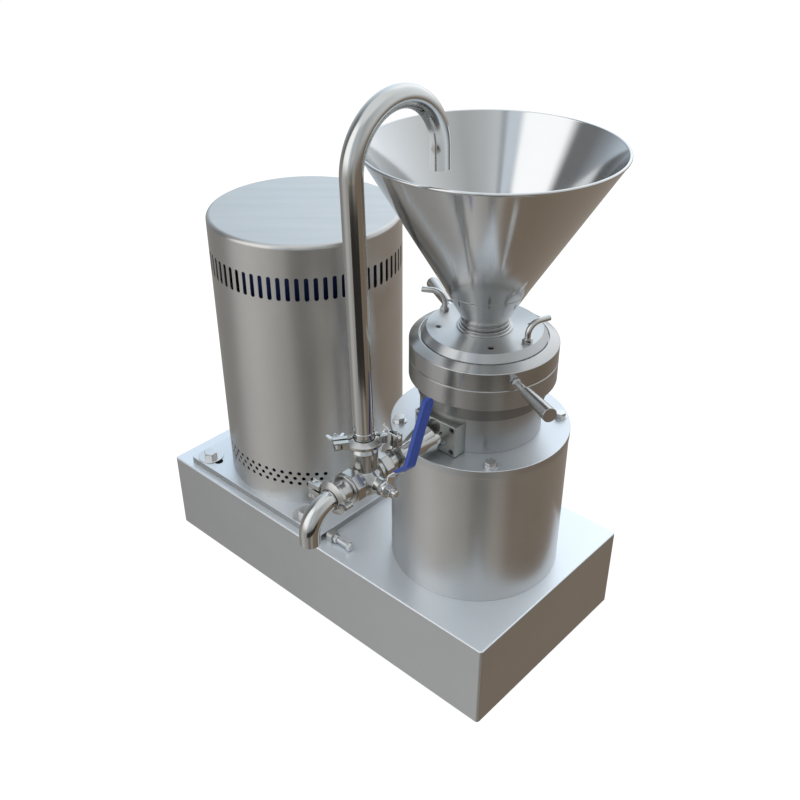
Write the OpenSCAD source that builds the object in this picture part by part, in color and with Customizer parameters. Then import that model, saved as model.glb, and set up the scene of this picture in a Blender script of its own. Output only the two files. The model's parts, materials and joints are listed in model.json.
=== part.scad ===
// Split colloid mill: a vertical motor drives the mill head through belts inside the base box.
// Frame: origin at the middle of the base's underside, +X from motor to mill, -Y discharge side, +Z up.

/* [Base] */
// Length of the base box along X
base_l = 1000; // [960:5:1100]
// Width of the base box along Y
base_w = 500; // [480:5:600]
// Height of the base box
base_h = 206; // [196:1:240]
// Thickness of the base side sheets
base_wall = 5; // [3:0.5:8]
// Thickness of the base top plate
base_top = 8; // [6:0.5:12]
// Radius of the base's upright corners
base_corner = 6; // [3:0.5:12]
// Width of the lip turned in along the lower edge
base_lip = 40; // [20:1:60]
// Thickness of the turned-in lip
lip_t = 5; // [3:0.5:8]

/* [Motor stand] */
// Place of the motor axis along X
motor_x = -229; // [-245:1:-220]
// Length of the motor plate along X
plate_l = 468; // [460:1:480]
// Width of the motor plate along Y
plate_w = 464; // [456:1:470]
// Thickness of the motor plate
plate_t = 16; // [12:1:20]
// Distance of the plate's middle from the motor axis, towards the mill
plate_shift = 12; // [8:0.5:16]
// Half spacing of the plate bolts along X
plate_bolt_x = 176; // [170:0.5:180]
// Half spacing of the plate bolts along Y
plate_bolt_y = 200; // [198:0.5:200.5]
// Distance of the bolt group's middle from the motor axis, away from the mill
plate_bolt_shift = 9; // [5:0.5:11]
// Thread diameter of the plate bolts
plate_bolt_d = 20; // [16:1:22]
// Length of the tension slots in the motor plate
plate_slot_l = 58; // [52:1:64]
// Distance of a slot's middle from its bolt, towards the mill
plate_slot_shift = 13; // [8:0.5:16]
// Diameter of the wide washers on the slots
plate_washer_d = 62; // [54:1:63]
// Thickness of the wide washers
plate_washer_t = 3; // [2:0.5:5]
// Distance of the belt tension bolt from the middle of the base
jack_side = 205; // [200:1:212]
// Thread diameter of the belt tension bolt
jack_d = 12; // [10:1:14]
// Length of the tension bolt's shank
jack_l = 68; // [62:1:80]
// Thickness of the tension bolt's lug along X
jack_lug_t = 16; // [12:1:20]
// Width of the lug along Y
jack_lug_w = 26; // [24:1:34]

/* [Motor cover] */
// Outer diameter of the motor cover
cover_d = 433; // [424:1:440]
// Height of the motor cover
cover_h = 656; // [640:1:700]
// Sheet thickness of the motor cover
cover_wall = 2; // [1.5:0.25:3]
// Radius of the rounded top edge
cover_edge = 13; // [6:0.5:18]
// Number of upright air slots around the cover
slot_count = 68; // [48:2:72]
// Width of an air slot
slot_w = 10; // [6:0.5:11]
// Height of an air slot
slot_h = 53; // [40:1:60]
// Distance of the slots' upper ends below the cover top
slot_drop = 71; // [50:1:90]
// Turn of the first air slot from +X
slot_turn = -0.85; // [-2.5:0.05:2.5]
// Diameter of the round inlet holes near the plate
vent_d = 9.5; // [5:0.5:10]
// Number of inlet holes in a row
vent_count = 52; // [36:1:54]
// Angle from one inlet hole to the next
vent_step = 5.5; // [5:0.1:6]
// Height of the lowest row of inlet holes above the plate
vent_lift = 58; // [40:1:80]
// Spacing of the rows of inlet holes
vent_row = 14; // [12:0.5:18]

/* [Motor] */
// Diameter of the motor's mounting flange
motor_flange_d = 350; // [344:1:356]
// Diameter of the flange's spigot
motor_spigot_d = 250; // [244:1:254]
// Bolt circle of the motor flange
motor_pcd = 318; // [316:1:320]
// Thread diameter of the motor flange bolts
motor_bolt_d = 16; // [12:1:16]
// Thickness of the motor flange
motor_flange_t = 20; // [16:1:24]
// Diameter of the motor body under the fins
motor_body_d = 280; // [270:1:286]
// Height of the motor body
motor_body_h = 400; // [380:1:420]
// Reach of the cooling fins beyond the body
fin_out = 20; // [12:1:26]
// Number of cooling fins
fin_count = 36; // [24:2:48]
// Diameter of the fan cowl
cowl_d = 316; // [306:1:330]
// Height of the fan cowl
cowl_h = 170; // [150:1:180]
// Diameter of the motor shaft
motor_shaft_d = 42; // [38:1:48]

/* [Belt drive] */
// Height of the middle of the belts above the floor
belt_z = 105; // [95:1:115]
// Number of belts side by side
belt_count = 3; // [2:1:3]
// Spacing of the belts
belt_pitch = 19; // [18:0.5:21]
// Width of one belt
belt_w = 12; // [10:0.5:13]
// Thickness of one belt
belt_t = 10; // [8:0.5:11]
// Outer diameter of the motor pulley
motor_pulley_d = 134; // [120:1:150]
// Outer diameter of the mill pulley
mill_pulley_d = 112; // [106:1:124]
// Depth of a pulley groove
groove_deep = 14; // [12:0.5:16]

/* [Mill stand] */
// Place of the mill axis along X
mill_x = 281; // [270:1:300]
// Diameter of the mill's round stand
stand_d = 372; // [360:1:390]
// Height of the stand with its flange
stand_h = 339.5; // [325:0.5:360]
// Wall of the stand
stand_wall = 6; // [4:0.5:10]
// Width of the stand's foot ring
stand_foot_w = 60; // [40:1:80]
// Thickness of the stand's top flange
flange_t = 18; // [14:1:24]
// Overhang of the flange beyond the stand
flange_lip = 1; // [0.5:0.5:4]
// Distance of the flange bolts from the stand's outer face
flange_inset = 18; // [16:0.5:21]
// Thread diameter of the flange bolts
flange_bolt_d = 14; // [12:1:16]
// Diameter of the mill spindle in its bearings
spindle_d = 44; // [40:1:48]
// Outer diameter of the spindle bearings
bearing_d = 90; // [84:1:96]
// Width of the spindle bearings
bearing_w = 30; // [24:1:34]
// Outer diameter of the bearing housing
cartridge_d = 120; // [112:1:130]
// Length of the bearing housing
cartridge_l = 250; // [230:1:270]

/* [Mill head] */
// Diameter of the mill housing's neck
neck_d = 252; // [246:1:256]
// Height of the neck above the flange
neck_h = 79; // [76:1:86]
// Diameter of the housing above the neck
step_d = 262; // [260:1:266]
// Height of the bare step under the scale collar
step_h = 34; // [28:1:40]
// Outer diameter of the scale collar and the adjusting ring
ring_d = 299; // [290:1:310]
// Height of the scale collar
collar_h = 44; // [38:1:50]
// Height of the adjusting ring at its outer edge
ring_h = 38; // [34:1:44]
// Rise of the adjusting ring's top towards its bore
ring_crown = 8; // [4:0.5:10]
// Diameter of the stator's body
stator_d = 236; // [230:1:240]
// Diameter of the head cover at its foot
head_d = 254.4; // [252:0.2:256]
// Height of the head cover's chamfer
head_bevel = 16; // [10:0.5:20]
// Inward reach of the head cover's chamfer
head_bevel_in = 12; // [8:0.5:16]
// Diameter of the feed bore through the head
feed_d = 86; // [80:1:88]
// Diameter of the rotor at its foot
rotor_d = 200; // [190:1:206]
// Diameter of the rotor at its top
rotor_top_d = 128; // [120:1:136]
// Height of the toothed rotor
rotor_h = 94; // [84:1:100]
// Grinding gap between rotor and stator, measured radially
grind_gap = 1.4; // [1.2:0.1:2]
// Number of grooves on the rotor and on the stator
tooth_count = 30; // [20:2:36]
// Depth of the grinding grooves
tooth_deep = 5; // [3:0.5:6]
// Slant of the grinding grooves
tooth_slant = 14; // [8:1:18]

/* [Handles] */
// Direction of the front handle seen from above
handle_angle = -28.5; // [-35:0.5:-20]
// Rise of the handles towards their ends
handle_tilt = 4.4; // [0:0.2:6]
// Distance of the handle ends from the mill axis
handle_reach = 288; // [270:1:292]
// Diameter of the handle studs
stud_d = 15; // [12:0.5:16]
// Bare length of a stud outside the ring
stud_l = 42; // [36:1:48]
// Diameter of a grip at its root
grip_d = 21; // [18:0.5:24]
// Diameter of a grip at its end
grip_end_d = 28; // [26:0.5:30]

/* [Water nozzles and cover screws] */
// Distance of the water nozzles from the mill axis
nozzle_r = 102.5; // [98:0.5:103]
// Outer diameter of the nozzle tube
nozzle_d = 12; // [10:0.5:13]
// Bend radius of the nozzle tube
nozzle_bend = 26; // [22:1:30]
// Straight length at the nozzle's end
nozzle_end = 22; // [14:1:26]
// Distance of the cover screws from the mill axis
screw_r = 91.5; // [86:0.5:96]
// Thread diameter of the cover screws
screw_d = 8; // [6:0.5:9]

/* [Hopper] */
// Outer diameter of the hopper's rim
hopper_d = 484; // [460:1:500]
// Height of the rim above the head cover
hopper_h = 357; // [340:1:380]
// Outer diameter at the seam between the two cones
seam_d = 146; // [138:1:150]
// Height of the seam above the head cover
seam_h = 71; // [66:1:78]
// Sheet thickness of the hopper
hopper_wall = 2; // [1.5:0.25:3]
// Thickness of the rolled rim
rim_d = 6; // [5:0.5:8]
// Outer diameter of the hopper's neck ring
throat_d = 97; // [94:1:104]
// Diameter of the neck ring's flared foot
throat_foot_d = 111; // [107:1:120]
// Height of the neck ring
throat_h = 20.5; // [18:0.5:28]

/* [Discharge line] */
// Height of the discharge line above the flange
line_lift = 38.5; // [37:0.5:42]
// Width of the outlet block
block_w = 104; // [98:1:110]
// Height of the outlet block
block_h = 69; // [66:1:72]
// Distance of the block's face from the mill axis
block_y = 146.5; // [142:0.5:152]
// Length of the outlet stub from the block to its ferrule face
stub_pipe_l = 114.5; // [108:0.5:124]
// Outer diameter of the stub beside the block
stub_pipe_d = 62; // [56:1:66]
// Length of the stub's wide part
stub_wide_l = 28; // [20:1:34]
// Length of the stub's taper to the tube
stub_cone_l = 48; // [40:1:54]
// Outer diameter of the sanitary tube
tube_d = 38; // [36:0.5:40]
// Wall of the sanitary tube
tube_wall = 1.6; // [1.2:0.1:2]
// Diameter of a clamp ferrule
ferrule_d = 50.5; // [49:0.5:53]
// Thickness of a gasket between ferrules
gasket_t = 2; // [1.5:0.25:3]
// Distance from the valve's middle to a port face
port_l = 81; // [78:1:88]
// Diameter of the valve ball
ball_d = 54; // [52:0.5:56]
// Centreline radius of the spout's bend
spout_bend = 50; // [46:1:60]
// Straight length of the spout behind its ferrule
spout_start = 10; // [10:1:16]
// Straight length at the spout's end
spout_end = 16; // [14:1:22]

/* [Valve lever] */
// Direction of the lever above the line at rest
lever_angle = 67; // [60:1:75]
// Length of the lever from stem to tip
lever_l = 190; // [170:1:200]
// Width of the lever strap
lever_w = 20; // [16:1:22]
// Thickness of the lever strap
lever_t = 4; // [3:0.5:5]
// Outward offset of the lever's bend
lever_offset = 32; // [28:1:36]
// Thickness of the sleeve around the strap
sleeve_wall = 2.5; // [1.5:0.25:3.5]

/* [Return pipe] */
// Height of the return bend's centre above the discharge line
return_h = 566; // [550:1:590]
// Centreline radius of the return bend
return_bend = 104; // [98:1:108]
// Length of the down-turned end
return_drop = 36; // [28:1:44]
// Outward lean of the return pipe
return_lean = 1.6; // [0:0.1:2]

/* [Hidden] */
$fn = 48;
steel = "#b9bcbf";
polished = "#cfd3d6";
zinc = "#c4c8cc";
dark = "#4a4d50";
motor_blue = "#1d2a58";
lever_blue = "#24369c";
rubber = "#2a2a2c";
white = "#e8e6e0";
// Clearances
fit = 0.1;
run = 0.05;
gap = 0.3;
eps = 1;
// Hexagon across corners for a thread diameter
function hex_d(d) = 1.5 * d / cos(30);
// Heights of the main seats
plate_z = base_h + plate_t;
cover_z = plate_z + cover_h;
flange_z = base_h + stand_h;
step_z = flange_z + neck_h;
collar_z = step_z + step_h;
ring_z = collar_z + collar_h;
ring_top_z = ring_z + ring_h;
head_z = ring_top_z + ring_crown;
disc_z = head_z + head_bevel;
stator_z = head_z - 4;
line_z = flange_z + line_lift;
motor_top_z = plate_z + motor_flange_t + motor_body_h;
flange_pcd = stand_d - 2 * flange_inset;
// Discharge line stations along Y, positive away from the mill
stub_face_y = block_y + stub_pipe_l;
valve_y = stub_face_y + gasket_t + port_l;
spout_face_y = valve_y + port_l + gasket_t;
valve_at = [mill_x, -valve_y, line_z];
// Head seats
ring_bore_d = head_d + 1.6;
stator_bore_d = stator_d + 2 * gap;
chamber_wall = 18;
chamber_d = neck_d - 2 * chamber_wall;
floor_t = 14;
rotor_lift = 60;
rotor_z = flange_z + rotor_lift;
rotor_top_z = rotor_z + rotor_h;
stator_lap = 36;
stator_foot_z = rotor_z + stator_lap;
seal_bore_d = spindle_d + 24;
// Radius of the rotor's cone at a height
function cone_r(z) = rotor_d / 2 + (rotor_top_d - rotor_d) / 2 * (z - rotor_z) / rotor_h;
// Belt drive
pulley_w = belt_count * belt_pitch + 6;
pulley_z = belt_z - pulley_w / 2;
shaft_foot_z = pulley_z - 5;
belt_gap = 0.5;
// Motor parts
motor_bearing_d = motor_shaft_d + 58;
motor_bearing_w = 28;
core_d = motor_body_d - 100;
core_end = 60;
core_gap = 1.5;
shield_t = 18;
fan_z = motor_top_z + 45;
fan_h = 60;
shaft_top_z = fan_z + fan_h + 4;
nozzle_foot = 10;
// Outlet block screws sit in counterbores
block_sink = screw_d + 1;
block_screw_l = 35;
// Clamp
clamp_d = ferrule_d + 16;
clamp_w = 16;
clamp_edge = 6;
clamp_gap = 4;
ferrule_rim = 3;
ferrule_taper = 3;
clamp_bolt_d = 8;
clamp_eye_d = 12;
clamp_bolt_x = clamp_d / 2 + 15;
clamp_lug_t = 10;
hinge_x = clamp_d / 2 + 4;
hinge_d = 12;
wing_t = 3.5;
// Lever stations along the stem, from the valve's middle
bonnet_x = 46;
bonnet_d = 34;
gland_h = 7;
lever_x = bonnet_x + gland_h + 1;
stem_d = 14;
ball_bore_d = 0.6 * ball_d;
ball_room_d = ball_d + 8;
stem_nut_h = 11;
hub_rim = 0.4;
stem_tip_x = lever_x + lever_t + stem_nut_h + 10;
joggle_start = 28;
joggle_end = 60;
grip_start = 40;
// Height above its ferrule face where the return pipe starts to lean
lean_z = 12;

// Shared shapes

// Rectangle with rounded corners, centred
module rounded_rect(w, d, r) {
  square([w - 2 * r, d], center = true);
  square([w, d - 2 * r], center = true);
  for (x = [-1, 1], y = [-1, 1])
    translate([x * (w / 2 - r), y * (d / 2 - r)])
      circle(r);
}

// Upright tube, or a ring
module pipe(d, bore, h) {
  difference() {
    cylinder(d = d, h = h);
    translate([0, 0, -eps])
      cylinder(d = bore, h = h + 2 * eps);
  }
}

// Can with a rounded upper edge
module rounded_can(d, h, edge) {
  rotate_extrude() {
    square([d / 2 - edge, h]);
    square([d / 2, h - edge]);
    translate([d / 2 - edge, h - edge])
      intersection() {
        circle(edge);
        square(edge);
      }
  }
}

// Hexagon bolt standing on z = 0 with its shank below
module hex_bolt(d, shank) {
  cylinder(d = hex_d(d), h = 0.65 * d, $fn = 6);
  translate([0, 0, -shank])
    cylinder(d = d, h = shank + eps);
}

// Hexagon nut standing on z = 0
module hex_nut(d, h) {
  difference() {
    cylinder(d = hex_d(d), h = h, $fn = 6);
    translate([0, 0, -eps])
      cylinder(d = d + 2 * run, h = h + 2 * eps);
  }
}

// Socket cap screw standing on z = 0 with its shank below
module cap_screw(d, shank) {
  difference() {
    cylinder(d = 1.5 * d, h = d);
    translate([0, 0, d / 2])
      cylinder(d = 0.9 * d, h = d, $fn = 6);
  }
  translate([0, 0, -shank])
    cylinder(d = d, h = shank + eps);
}

// Quarter or part bend of a tube: starts at the origin along +Z and turns towards +X
module bend(d, radius, turn) {
  translate([radius, 0, 0])
    rotate([90, 0, 0])
      rotate([0, 0, 180 - turn])
        rotate_extrude(angle = turn)
          translate([radius, 0])
            circle(d = d);
}

// Solid of a clamp ferrule with its face at z = 0 and its tube rising
module ferrule(neck_d, l) {
  cylinder(d = ferrule_d, h = ferrule_rim);
  translate([0, 0, ferrule_rim])
    cylinder(d1 = ferrule_d, d2 = neck_d, h = ferrule_taper);
  cylinder(d = neck_d, h = l);
}

// Places things at the plate bolts
module at_plate_bolts() {
  for (x = [-1, 1], y = [-1, 1])
    translate([motor_x - plate_bolt_shift + x * plate_bolt_x, y * plate_bolt_y, 0])
      children();
}

// Places things at four points on a circle about the mill axis
module at_mill_circle(pcd) {
  for (a = [45 : 90 : 315])
    translate([mill_x, 0, 0])
      rotate([0, 0, a])
        translate([pcd / 2, 0, 0])
          children();
}

// Places things at the four screws of the outlet block, with +Z out of the block's face
module at_block_screws() {
  for (x = [-1, 1], z = [-1, 1])
    translate([mill_x + x * (block_w / 2 - 10), -block_y, line_z - 2.5 + z * (block_h / 2 - 9)])
      rotate([90, 0, 0])
        children();
}

// Base

module base_frame() {
  color(steel)
    difference() {
      linear_extrude(base_h)
        rounded_rect(base_l, base_w, base_corner);
      translate([0, 0, lip_t])
        linear_extrude(base_h - base_top - lip_t)
          square([base_l - 2 * base_wall, base_w - 2 * base_wall], center = true);
      translate([0, 0, -eps])
        linear_extrude(lip_t + 2 * eps)
          square([base_l - 2 * base_lip, base_w - 2 * base_lip], center = true);
      translate([motor_x, 0, base_h - base_top - eps])
        cylinder(d = motor_spigot_d - 30, h = base_top + 2 * eps);
      translate([mill_x, 0, base_h - base_top - eps])
        cylinder(d = cartridge_d + 60, h = base_top + 2 * eps);
      at_plate_bolts()
        translate([0, 0, base_h - base_top - eps])
          cylinder(d = plate_bolt_d + 2 * fit, h = base_top + 2 * eps);
    }
}

// Motor stand

module motor_plate() {
  slot = plate_bolt_d + 2;
  color(steel)
    difference() {
      translate([motor_x + plate_shift, 0, base_h])
        linear_extrude(plate_t)
          rounded_rect(plate_l, plate_w, 4);
      translate([motor_x, 0, base_h - eps])
        cylinder(d = motor_spigot_d + 2 * fit, h = plate_t + 2 * eps);
      at_plate_bolts()
        translate([plate_slot_shift, 0, base_h - eps])
          linear_extrude(plate_t + 2 * eps) {
            square([plate_slot_l - slot, slot], center = true);
            for (x = [-1, 1])
              translate([x * (plate_slot_l - slot) / 2, 0])
                circle(d = slot);
          }
      for (a = [45 : 90 : 315])
        translate([motor_x, 0, base_h - eps])
          rotate([0, 0, a])
            translate([motor_pcd / 2, 0, 0])
              cylinder(d = motor_bolt_d + 2 * fit, h = plate_t + 2 * eps);
    }
}

module plate_bolts() {
  color(zinc)
    at_plate_bolts()
      translate([0, 0, plate_z + plate_washer_t])
        hex_bolt(plate_bolt_d, plate_washer_t + plate_t + base_top + 6);
}

module plate_washers() {
  color(zinc)
    at_plate_bolts()
      translate([0, 0, plate_z])
        pipe(plate_washer_d, plate_bolt_d + 2 * fit, plate_washer_t);
}

// The tension bolt's axis lies along X, just high enough for its hexagons to clear the base
jack_tip_x = motor_x + plate_shift + plate_l / 2 + gap;
jack_z = base_h + 0.75 * jack_d + 1;
jack_lug_x = jack_tip_x + 8;
jack_y = -jack_side;

module at_jack(x) {
  translate([x, jack_y, jack_z])
    rotate([0, 90, 0])
      rotate([0, 0, 30])
        children();
}

module tension_lug() {
  lug_h = jack_z + jack_d - base_h;
  color(steel)
    difference() {
      translate([jack_lug_x, jack_y - jack_lug_w / 2, base_h])
        cube([jack_lug_t, jack_lug_w, lug_h]);
      at_jack(jack_lug_x - eps)
        cylinder(d = jack_d + 2 * run, h = jack_lug_t + 2 * eps);
    }
}

module tension_bolt() {
  color(zinc)
    at_jack(jack_tip_x + jack_l) {
      hex_bolt(jack_d, jack_l - 2);
      translate([0, 0, -jack_l])
        cylinder(d1 = jack_d - 4, d2 = jack_d, h = 2);
    }
}

module tension_nut() {
  color(zinc)
    at_jack(jack_lug_x + jack_lug_t)
      hex_nut(jack_d, 0.8 * jack_d);
}

// Motor cover

module motor_cover() {
  wall_r = cover_d / 2;
  reach = 20;
  color(steel)
    translate([motor_x, 0, plate_z])
      difference() {
        rounded_can(cover_d, cover_h, cover_edge);
        translate([0, 0, -eps])
          rounded_can(cover_d - 2 * cover_wall, cover_h - cover_wall + eps, cover_edge - cover_wall);
        for (i = [0 : slot_count - 1])
          rotate([0, 0, slot_turn + i * 360 / slot_count])
            translate([wall_r - reach, 0, cover_h - slot_drop - slot_h / 2])
              rotate([90, 0, 90])
                linear_extrude(2 * reach) {
                  square([slot_w, slot_h - slot_w], center = true);
                  for (s = [-1, 1])
                    translate([0, s * (slot_h - slot_w) / 2])
                      circle(d = slot_w);
                }
        for (row = [0 : 2], i = [0 : vent_count - 1])
          rotate([0, 0, -38 - (i + row / 2) * vent_step])
            translate([wall_r - reach, 0, vent_lift + (2 - row) * vent_row])
              rotate([0, 90, 0])
                cylinder(d = vent_d, h = 2 * reach);
      }
}

// Motor

module motor_flange() {
  color(motor_blue)
    translate([motor_x, 0, plate_z])
      difference() {
        union() {
          cylinder(d = motor_flange_d, h = motor_flange_t);
          translate([0, 0, -5])
            cylinder(d = motor_spigot_d, h = 5 + eps);
          cylinder(d = motor_bearing_d + 24, h = motor_flange_t + motor_bearing_w);
        }
        translate([0, 0, -6])
          cylinder(d = motor_shaft_d + 4, h = motor_flange_t + motor_bearing_w + 20);
        translate([0, 0, motor_flange_t])
          cylinder(d = motor_bearing_d, h = motor_bearing_w + eps);
        for (a = [45 : 90 : 315])
          rotate([0, 0, a])
            translate([motor_pcd / 2, 0, -eps])
              cylinder(d = motor_bolt_d + 2 * fit, h = motor_flange_t + 2 * eps);
      }
}

module motor_flange_bolts() {
  color(zinc)
    for (a = [45 : 90 : 315])
      translate([motor_x, 0, plate_z + motor_flange_t])
        rotate([0, 0, a])
          translate([motor_pcd / 2, 0, 0])
            hex_bolt(motor_bolt_d, motor_flange_t + plate_t - 1);
}

module motor_frame() {
  fin_h = motor_body_h - 60;
  color(motor_blue)
    translate([motor_x, 0, plate_z + motor_flange_t])
      difference() {
        union() {
          cylinder(d = motor_body_d, h = motor_body_h);
          for (i = [0 : fin_count - 1])
            rotate([0, 0, (i + 0.5) * 360 / fin_count])
              translate([motor_body_d / 2 - 3, -2, 40])
                cube([fin_out + 3, 4, fin_h]);
        }
        translate([0, 0, -eps])
          cylinder(d = core_d + 2 * core_gap, h = motor_body_h + 2 * eps);
      }
}

module motor_end_shield() {
  color(motor_blue)
    translate([motor_x, 0, motor_top_z])
      difference() {
        union() {
          cylinder(d = cowl_d - 4 - 2 * fit, h = shield_t);
          translate([0, 0, shield_t - motor_bearing_w])
            cylinder(d = motor_bearing_d + 24, h = motor_bearing_w);
        }
        translate([0, 0, shield_t - motor_bearing_w - eps])
          cylinder(d = motor_bearing_d, h = motor_bearing_w - 6);
        translate([0, 0, -motor_bearing_w])
          cylinder(d = motor_shaft_d + 4, h = 3 * motor_bearing_w);
      }
}

module fan_cowl() {
  color(motor_blue)
    translate([motor_x, 0, motor_top_z + 3])
      difference() {
        rounded_can(cowl_d, cowl_h, 16);
        translate([0, 0, -eps])
          rounded_can(cowl_d - 4, cowl_h - 2 + eps, 14);
        for (ring = [1 : 3], i = [0 : 8 * ring - 1])
          rotate([0, 0, i * 360 / (8 * ring)])
            translate([ring * cowl_d / 9, 0, cowl_h - 10])
              cylinder(d = cowl_d / 20, h = 20);
      }
}

module motor_bearings() {
  low_z = plate_z + motor_flange_t;
  high_z = motor_top_z + shield_t - motor_bearing_w;
  color(dark)
    for (z = [low_z, high_z])
      translate([motor_x, 0, z])
        pipe(motor_bearing_d - 2 * fit, motor_shaft_d + 2 * run, motor_bearing_w - 8);
}

module motor_shaft() {
  color(steel)
    translate([motor_x, 0, shaft_foot_z])
      cylinder(d = motor_shaft_d, h = shaft_top_z - shaft_foot_z);
}

module motor_rotor_core() {
  color(dark)
    translate([motor_x, 0, plate_z + motor_flange_t + core_end])
      pipe(core_d, motor_shaft_d, motor_body_h - 2 * core_end);
}

module motor_fan() {
  fan_d = cowl_d - 60;
  color(rubber)
    translate([motor_x, 0, fan_z])
      difference() {
        union() {
          cylinder(d = fan_d, h = 4);
          cylinder(d = motor_shaft_d + 24, h = fan_h);
          for (i = [0 : 6])
            rotate([0, 0, i * 360 / 7])
              translate([motor_shaft_d / 2 + 6, -2, 0])
                cube([fan_d / 2 - motor_shaft_d / 2 - 8, 4, fan_h - 5]);
        }
        translate([0, 0, -eps])
          cylinder(d = motor_shaft_d, h = fan_h + 2 * eps);
      }
}

// Belt drive

// Grooved pulley with its lower face at z = 0
module pulley(d, bore) {
  foot_w = belt_w + 1;
  mouth_w = belt_w + 5;
  difference() {
    cylinder(d = d, h = pulley_w);
    translate([0, 0, -eps])
      cylinder(d = bore, h = pulley_w + 2 * eps);
    for (i = [0 : belt_count - 1])
      translate([0, 0, pulley_w / 2 + (i - (belt_count - 1) / 2) * belt_pitch])
        rotate_extrude()
          polygon([[d / 2 - groove_deep, -foot_w / 2], [d / 2 + eps, -mouth_w / 2],
            [d / 2 + eps, mouth_w / 2], [d / 2 - groove_deep, foot_w / 2]]);
  }
}

module motor_pulley() {
  color(dark)
    translate([motor_x, 0, pulley_z])
      pulley(motor_pulley_d, motor_shaft_d);
}

// Outline of a belt loop that lies on circles of the two radii
module belt_outline(r1, r2) {
  hull() {
    translate([motor_x, 0])
      circle(r1, $fn = 96);
    translate([mill_x, 0])
      circle(r2, $fn = 96);
  }
}

module drive_belts() {
  seat1 = motor_pulley_d / 2 - groove_deep + belt_gap;
  seat2 = mill_pulley_d / 2 - groove_deep + belt_gap;
  color(rubber)
    for (i = [0 : belt_count - 1])
      translate([0, 0, belt_z + (i - (belt_count - 1) / 2) * belt_pitch - belt_w / 2])
        linear_extrude(belt_w)
          difference() {
            belt_outline(seat1 + belt_t, seat2 + belt_t);
            belt_outline(seat1, seat2);
          }
}

module mill_pulley() {
  color(dark)
    translate([mill_x, 0, pulley_z])
      pulley(mill_pulley_d, spindle_d - 6);
}

// Mill stand and spindle

spindle_shoulder_z = base_h + 20;
rotor_seat_d = spindle_d - 10;
nut_thread_d = rotor_seat_d - 10;
low_bearing_z = flange_z - cartridge_l + 10;
high_bearing_z = flange_z - bearing_w - 12;

module mill_spindle() {
  color(steel)
    translate([mill_x, 0, 0]) {
      translate([0, 0, shaft_foot_z])
        cylinder(d = spindle_d - 6, h = spindle_shoulder_z - shaft_foot_z + eps);
      translate([0, 0, spindle_shoulder_z])
        cylinder(d = spindle_d, h = rotor_z - spindle_shoulder_z);
      translate([0, 0, rotor_z - eps])
        cylinder(d = rotor_seat_d, h = rotor_h + eps);
      translate([0, 0, rotor_top_z - eps])
        cylinder(d = nut_thread_d, h = 20 + eps);
    }
}

module spindle_bearings() {
  color(dark)
    for (z = [low_bearing_z, high_bearing_z])
      translate([mill_x, 0, z])
        pipe(bearing_d - 2 * fit, spindle_d + 2 * run, bearing_w);
}

module bearing_housing() {
  foot_z = flange_z - cartridge_l;
  collar_t = 14;
  color(steel)
    translate([mill_x, 0, 0])
      difference() {
        union() {
          translate([0, 0, foot_z])
            cylinder(d = cartridge_d, h = cartridge_l - 4);
          translate([0, 0, flange_z - flange_t - collar_t])
            cylinder(d = cartridge_d + 60, h = collar_t);
        }
        translate([0, 0, foot_z - eps])
          cylinder(d = bearing_d - 12, h = cartridge_l + 2 * eps);
        translate([0, 0, low_bearing_z])
          cylinder(d = bearing_d, h = high_bearing_z + bearing_w - low_bearing_z);
      }
}

module mill_stand() {
  foot_t = 10;
  color(steel)
    translate([mill_x, 0, base_h])
      difference() {
        cylinder(d = stand_d, h = stand_h - flange_t);
        translate([0, 0, foot_t])
          cylinder(d = stand_d - 2 * stand_wall, h = stand_h);
        translate([0, 0, -eps])
          cylinder(d = stand_d - 2 * stand_foot_w, h = foot_t + 2 * eps);
      }
}

module stand_flange() {
  color(steel)
    difference() {
      translate([mill_x, 0, flange_z - flange_t])
        cylinder(d = stand_d + 2 * flange_lip, h = flange_t);
      translate([mill_x, 0, flange_z - flange_t - eps])
        cylinder(d = cartridge_d + 2 * fit, h = flange_t + 2 * eps);
      at_mill_circle(flange_pcd)
        translate([0, 0, flange_z - flange_t - eps])
          cylinder(d = flange_bolt_d + 2 * fit, h = flange_t + 2 * eps);
    }
}

module flange_bolts() {
  washer_t = 2.5;
  color(zinc)
    at_mill_circle(flange_pcd)
      translate([0, 0, flange_z]) {
        cylinder(d = 2.1 * flange_bolt_d, h = washer_t);
        translate([0, 0, washer_t])
          hex_bolt(flange_bolt_d, flange_t + 10);
      }
}

// Mill head

module mill_housing() {
  color(steel)
    difference() {
      translate([mill_x, 0, 0]) {
        translate([0, 0, flange_z])
          cylinder(d = neck_d, h = neck_h + eps);
        translate([0, 0, step_z])
          cylinder(d = step_d, h = ring_z - step_z);
      }
      translate([mill_x, 0, flange_z - eps])
        cylinder(d = seal_bore_d, h = floor_t + 2 * eps);
      translate([mill_x, 0, flange_z + floor_t])
        cylinder(d = chamber_d, h = ring_z - flange_z);
      translate([mill_x, 0, stator_foot_z - 4])
        cylinder(d = stator_bore_d, h = ring_z - stator_foot_z + 8);
      translate([mill_x, 0, line_z])
        rotate([90, 0, 0])
          cylinder(d = tube_d - 2 * tube_wall, h = neck_d);
      at_block_screws()
        translate([0, 0, -block_y])
          cylinder(d = screw_d + 2 * fit, h = block_y);
    }
}

module seal_seat() {
  color(white)
    translate([mill_x, 0, flange_z])
      pipe(seal_bore_d - 2 * fit, spindle_d + 3, floor_t - 2);
}

module seal_ring() {
  color(dark)
    translate([mill_x, 0, flange_z + floor_t - 2 + gap]) {
      pipe(seal_bore_d - 6, spindle_d + 2 * run, 8);
      translate([0, 0, 8])
        pipe(spindle_d + 10, spindle_d + 2 * run, 20);
    }
}

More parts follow.
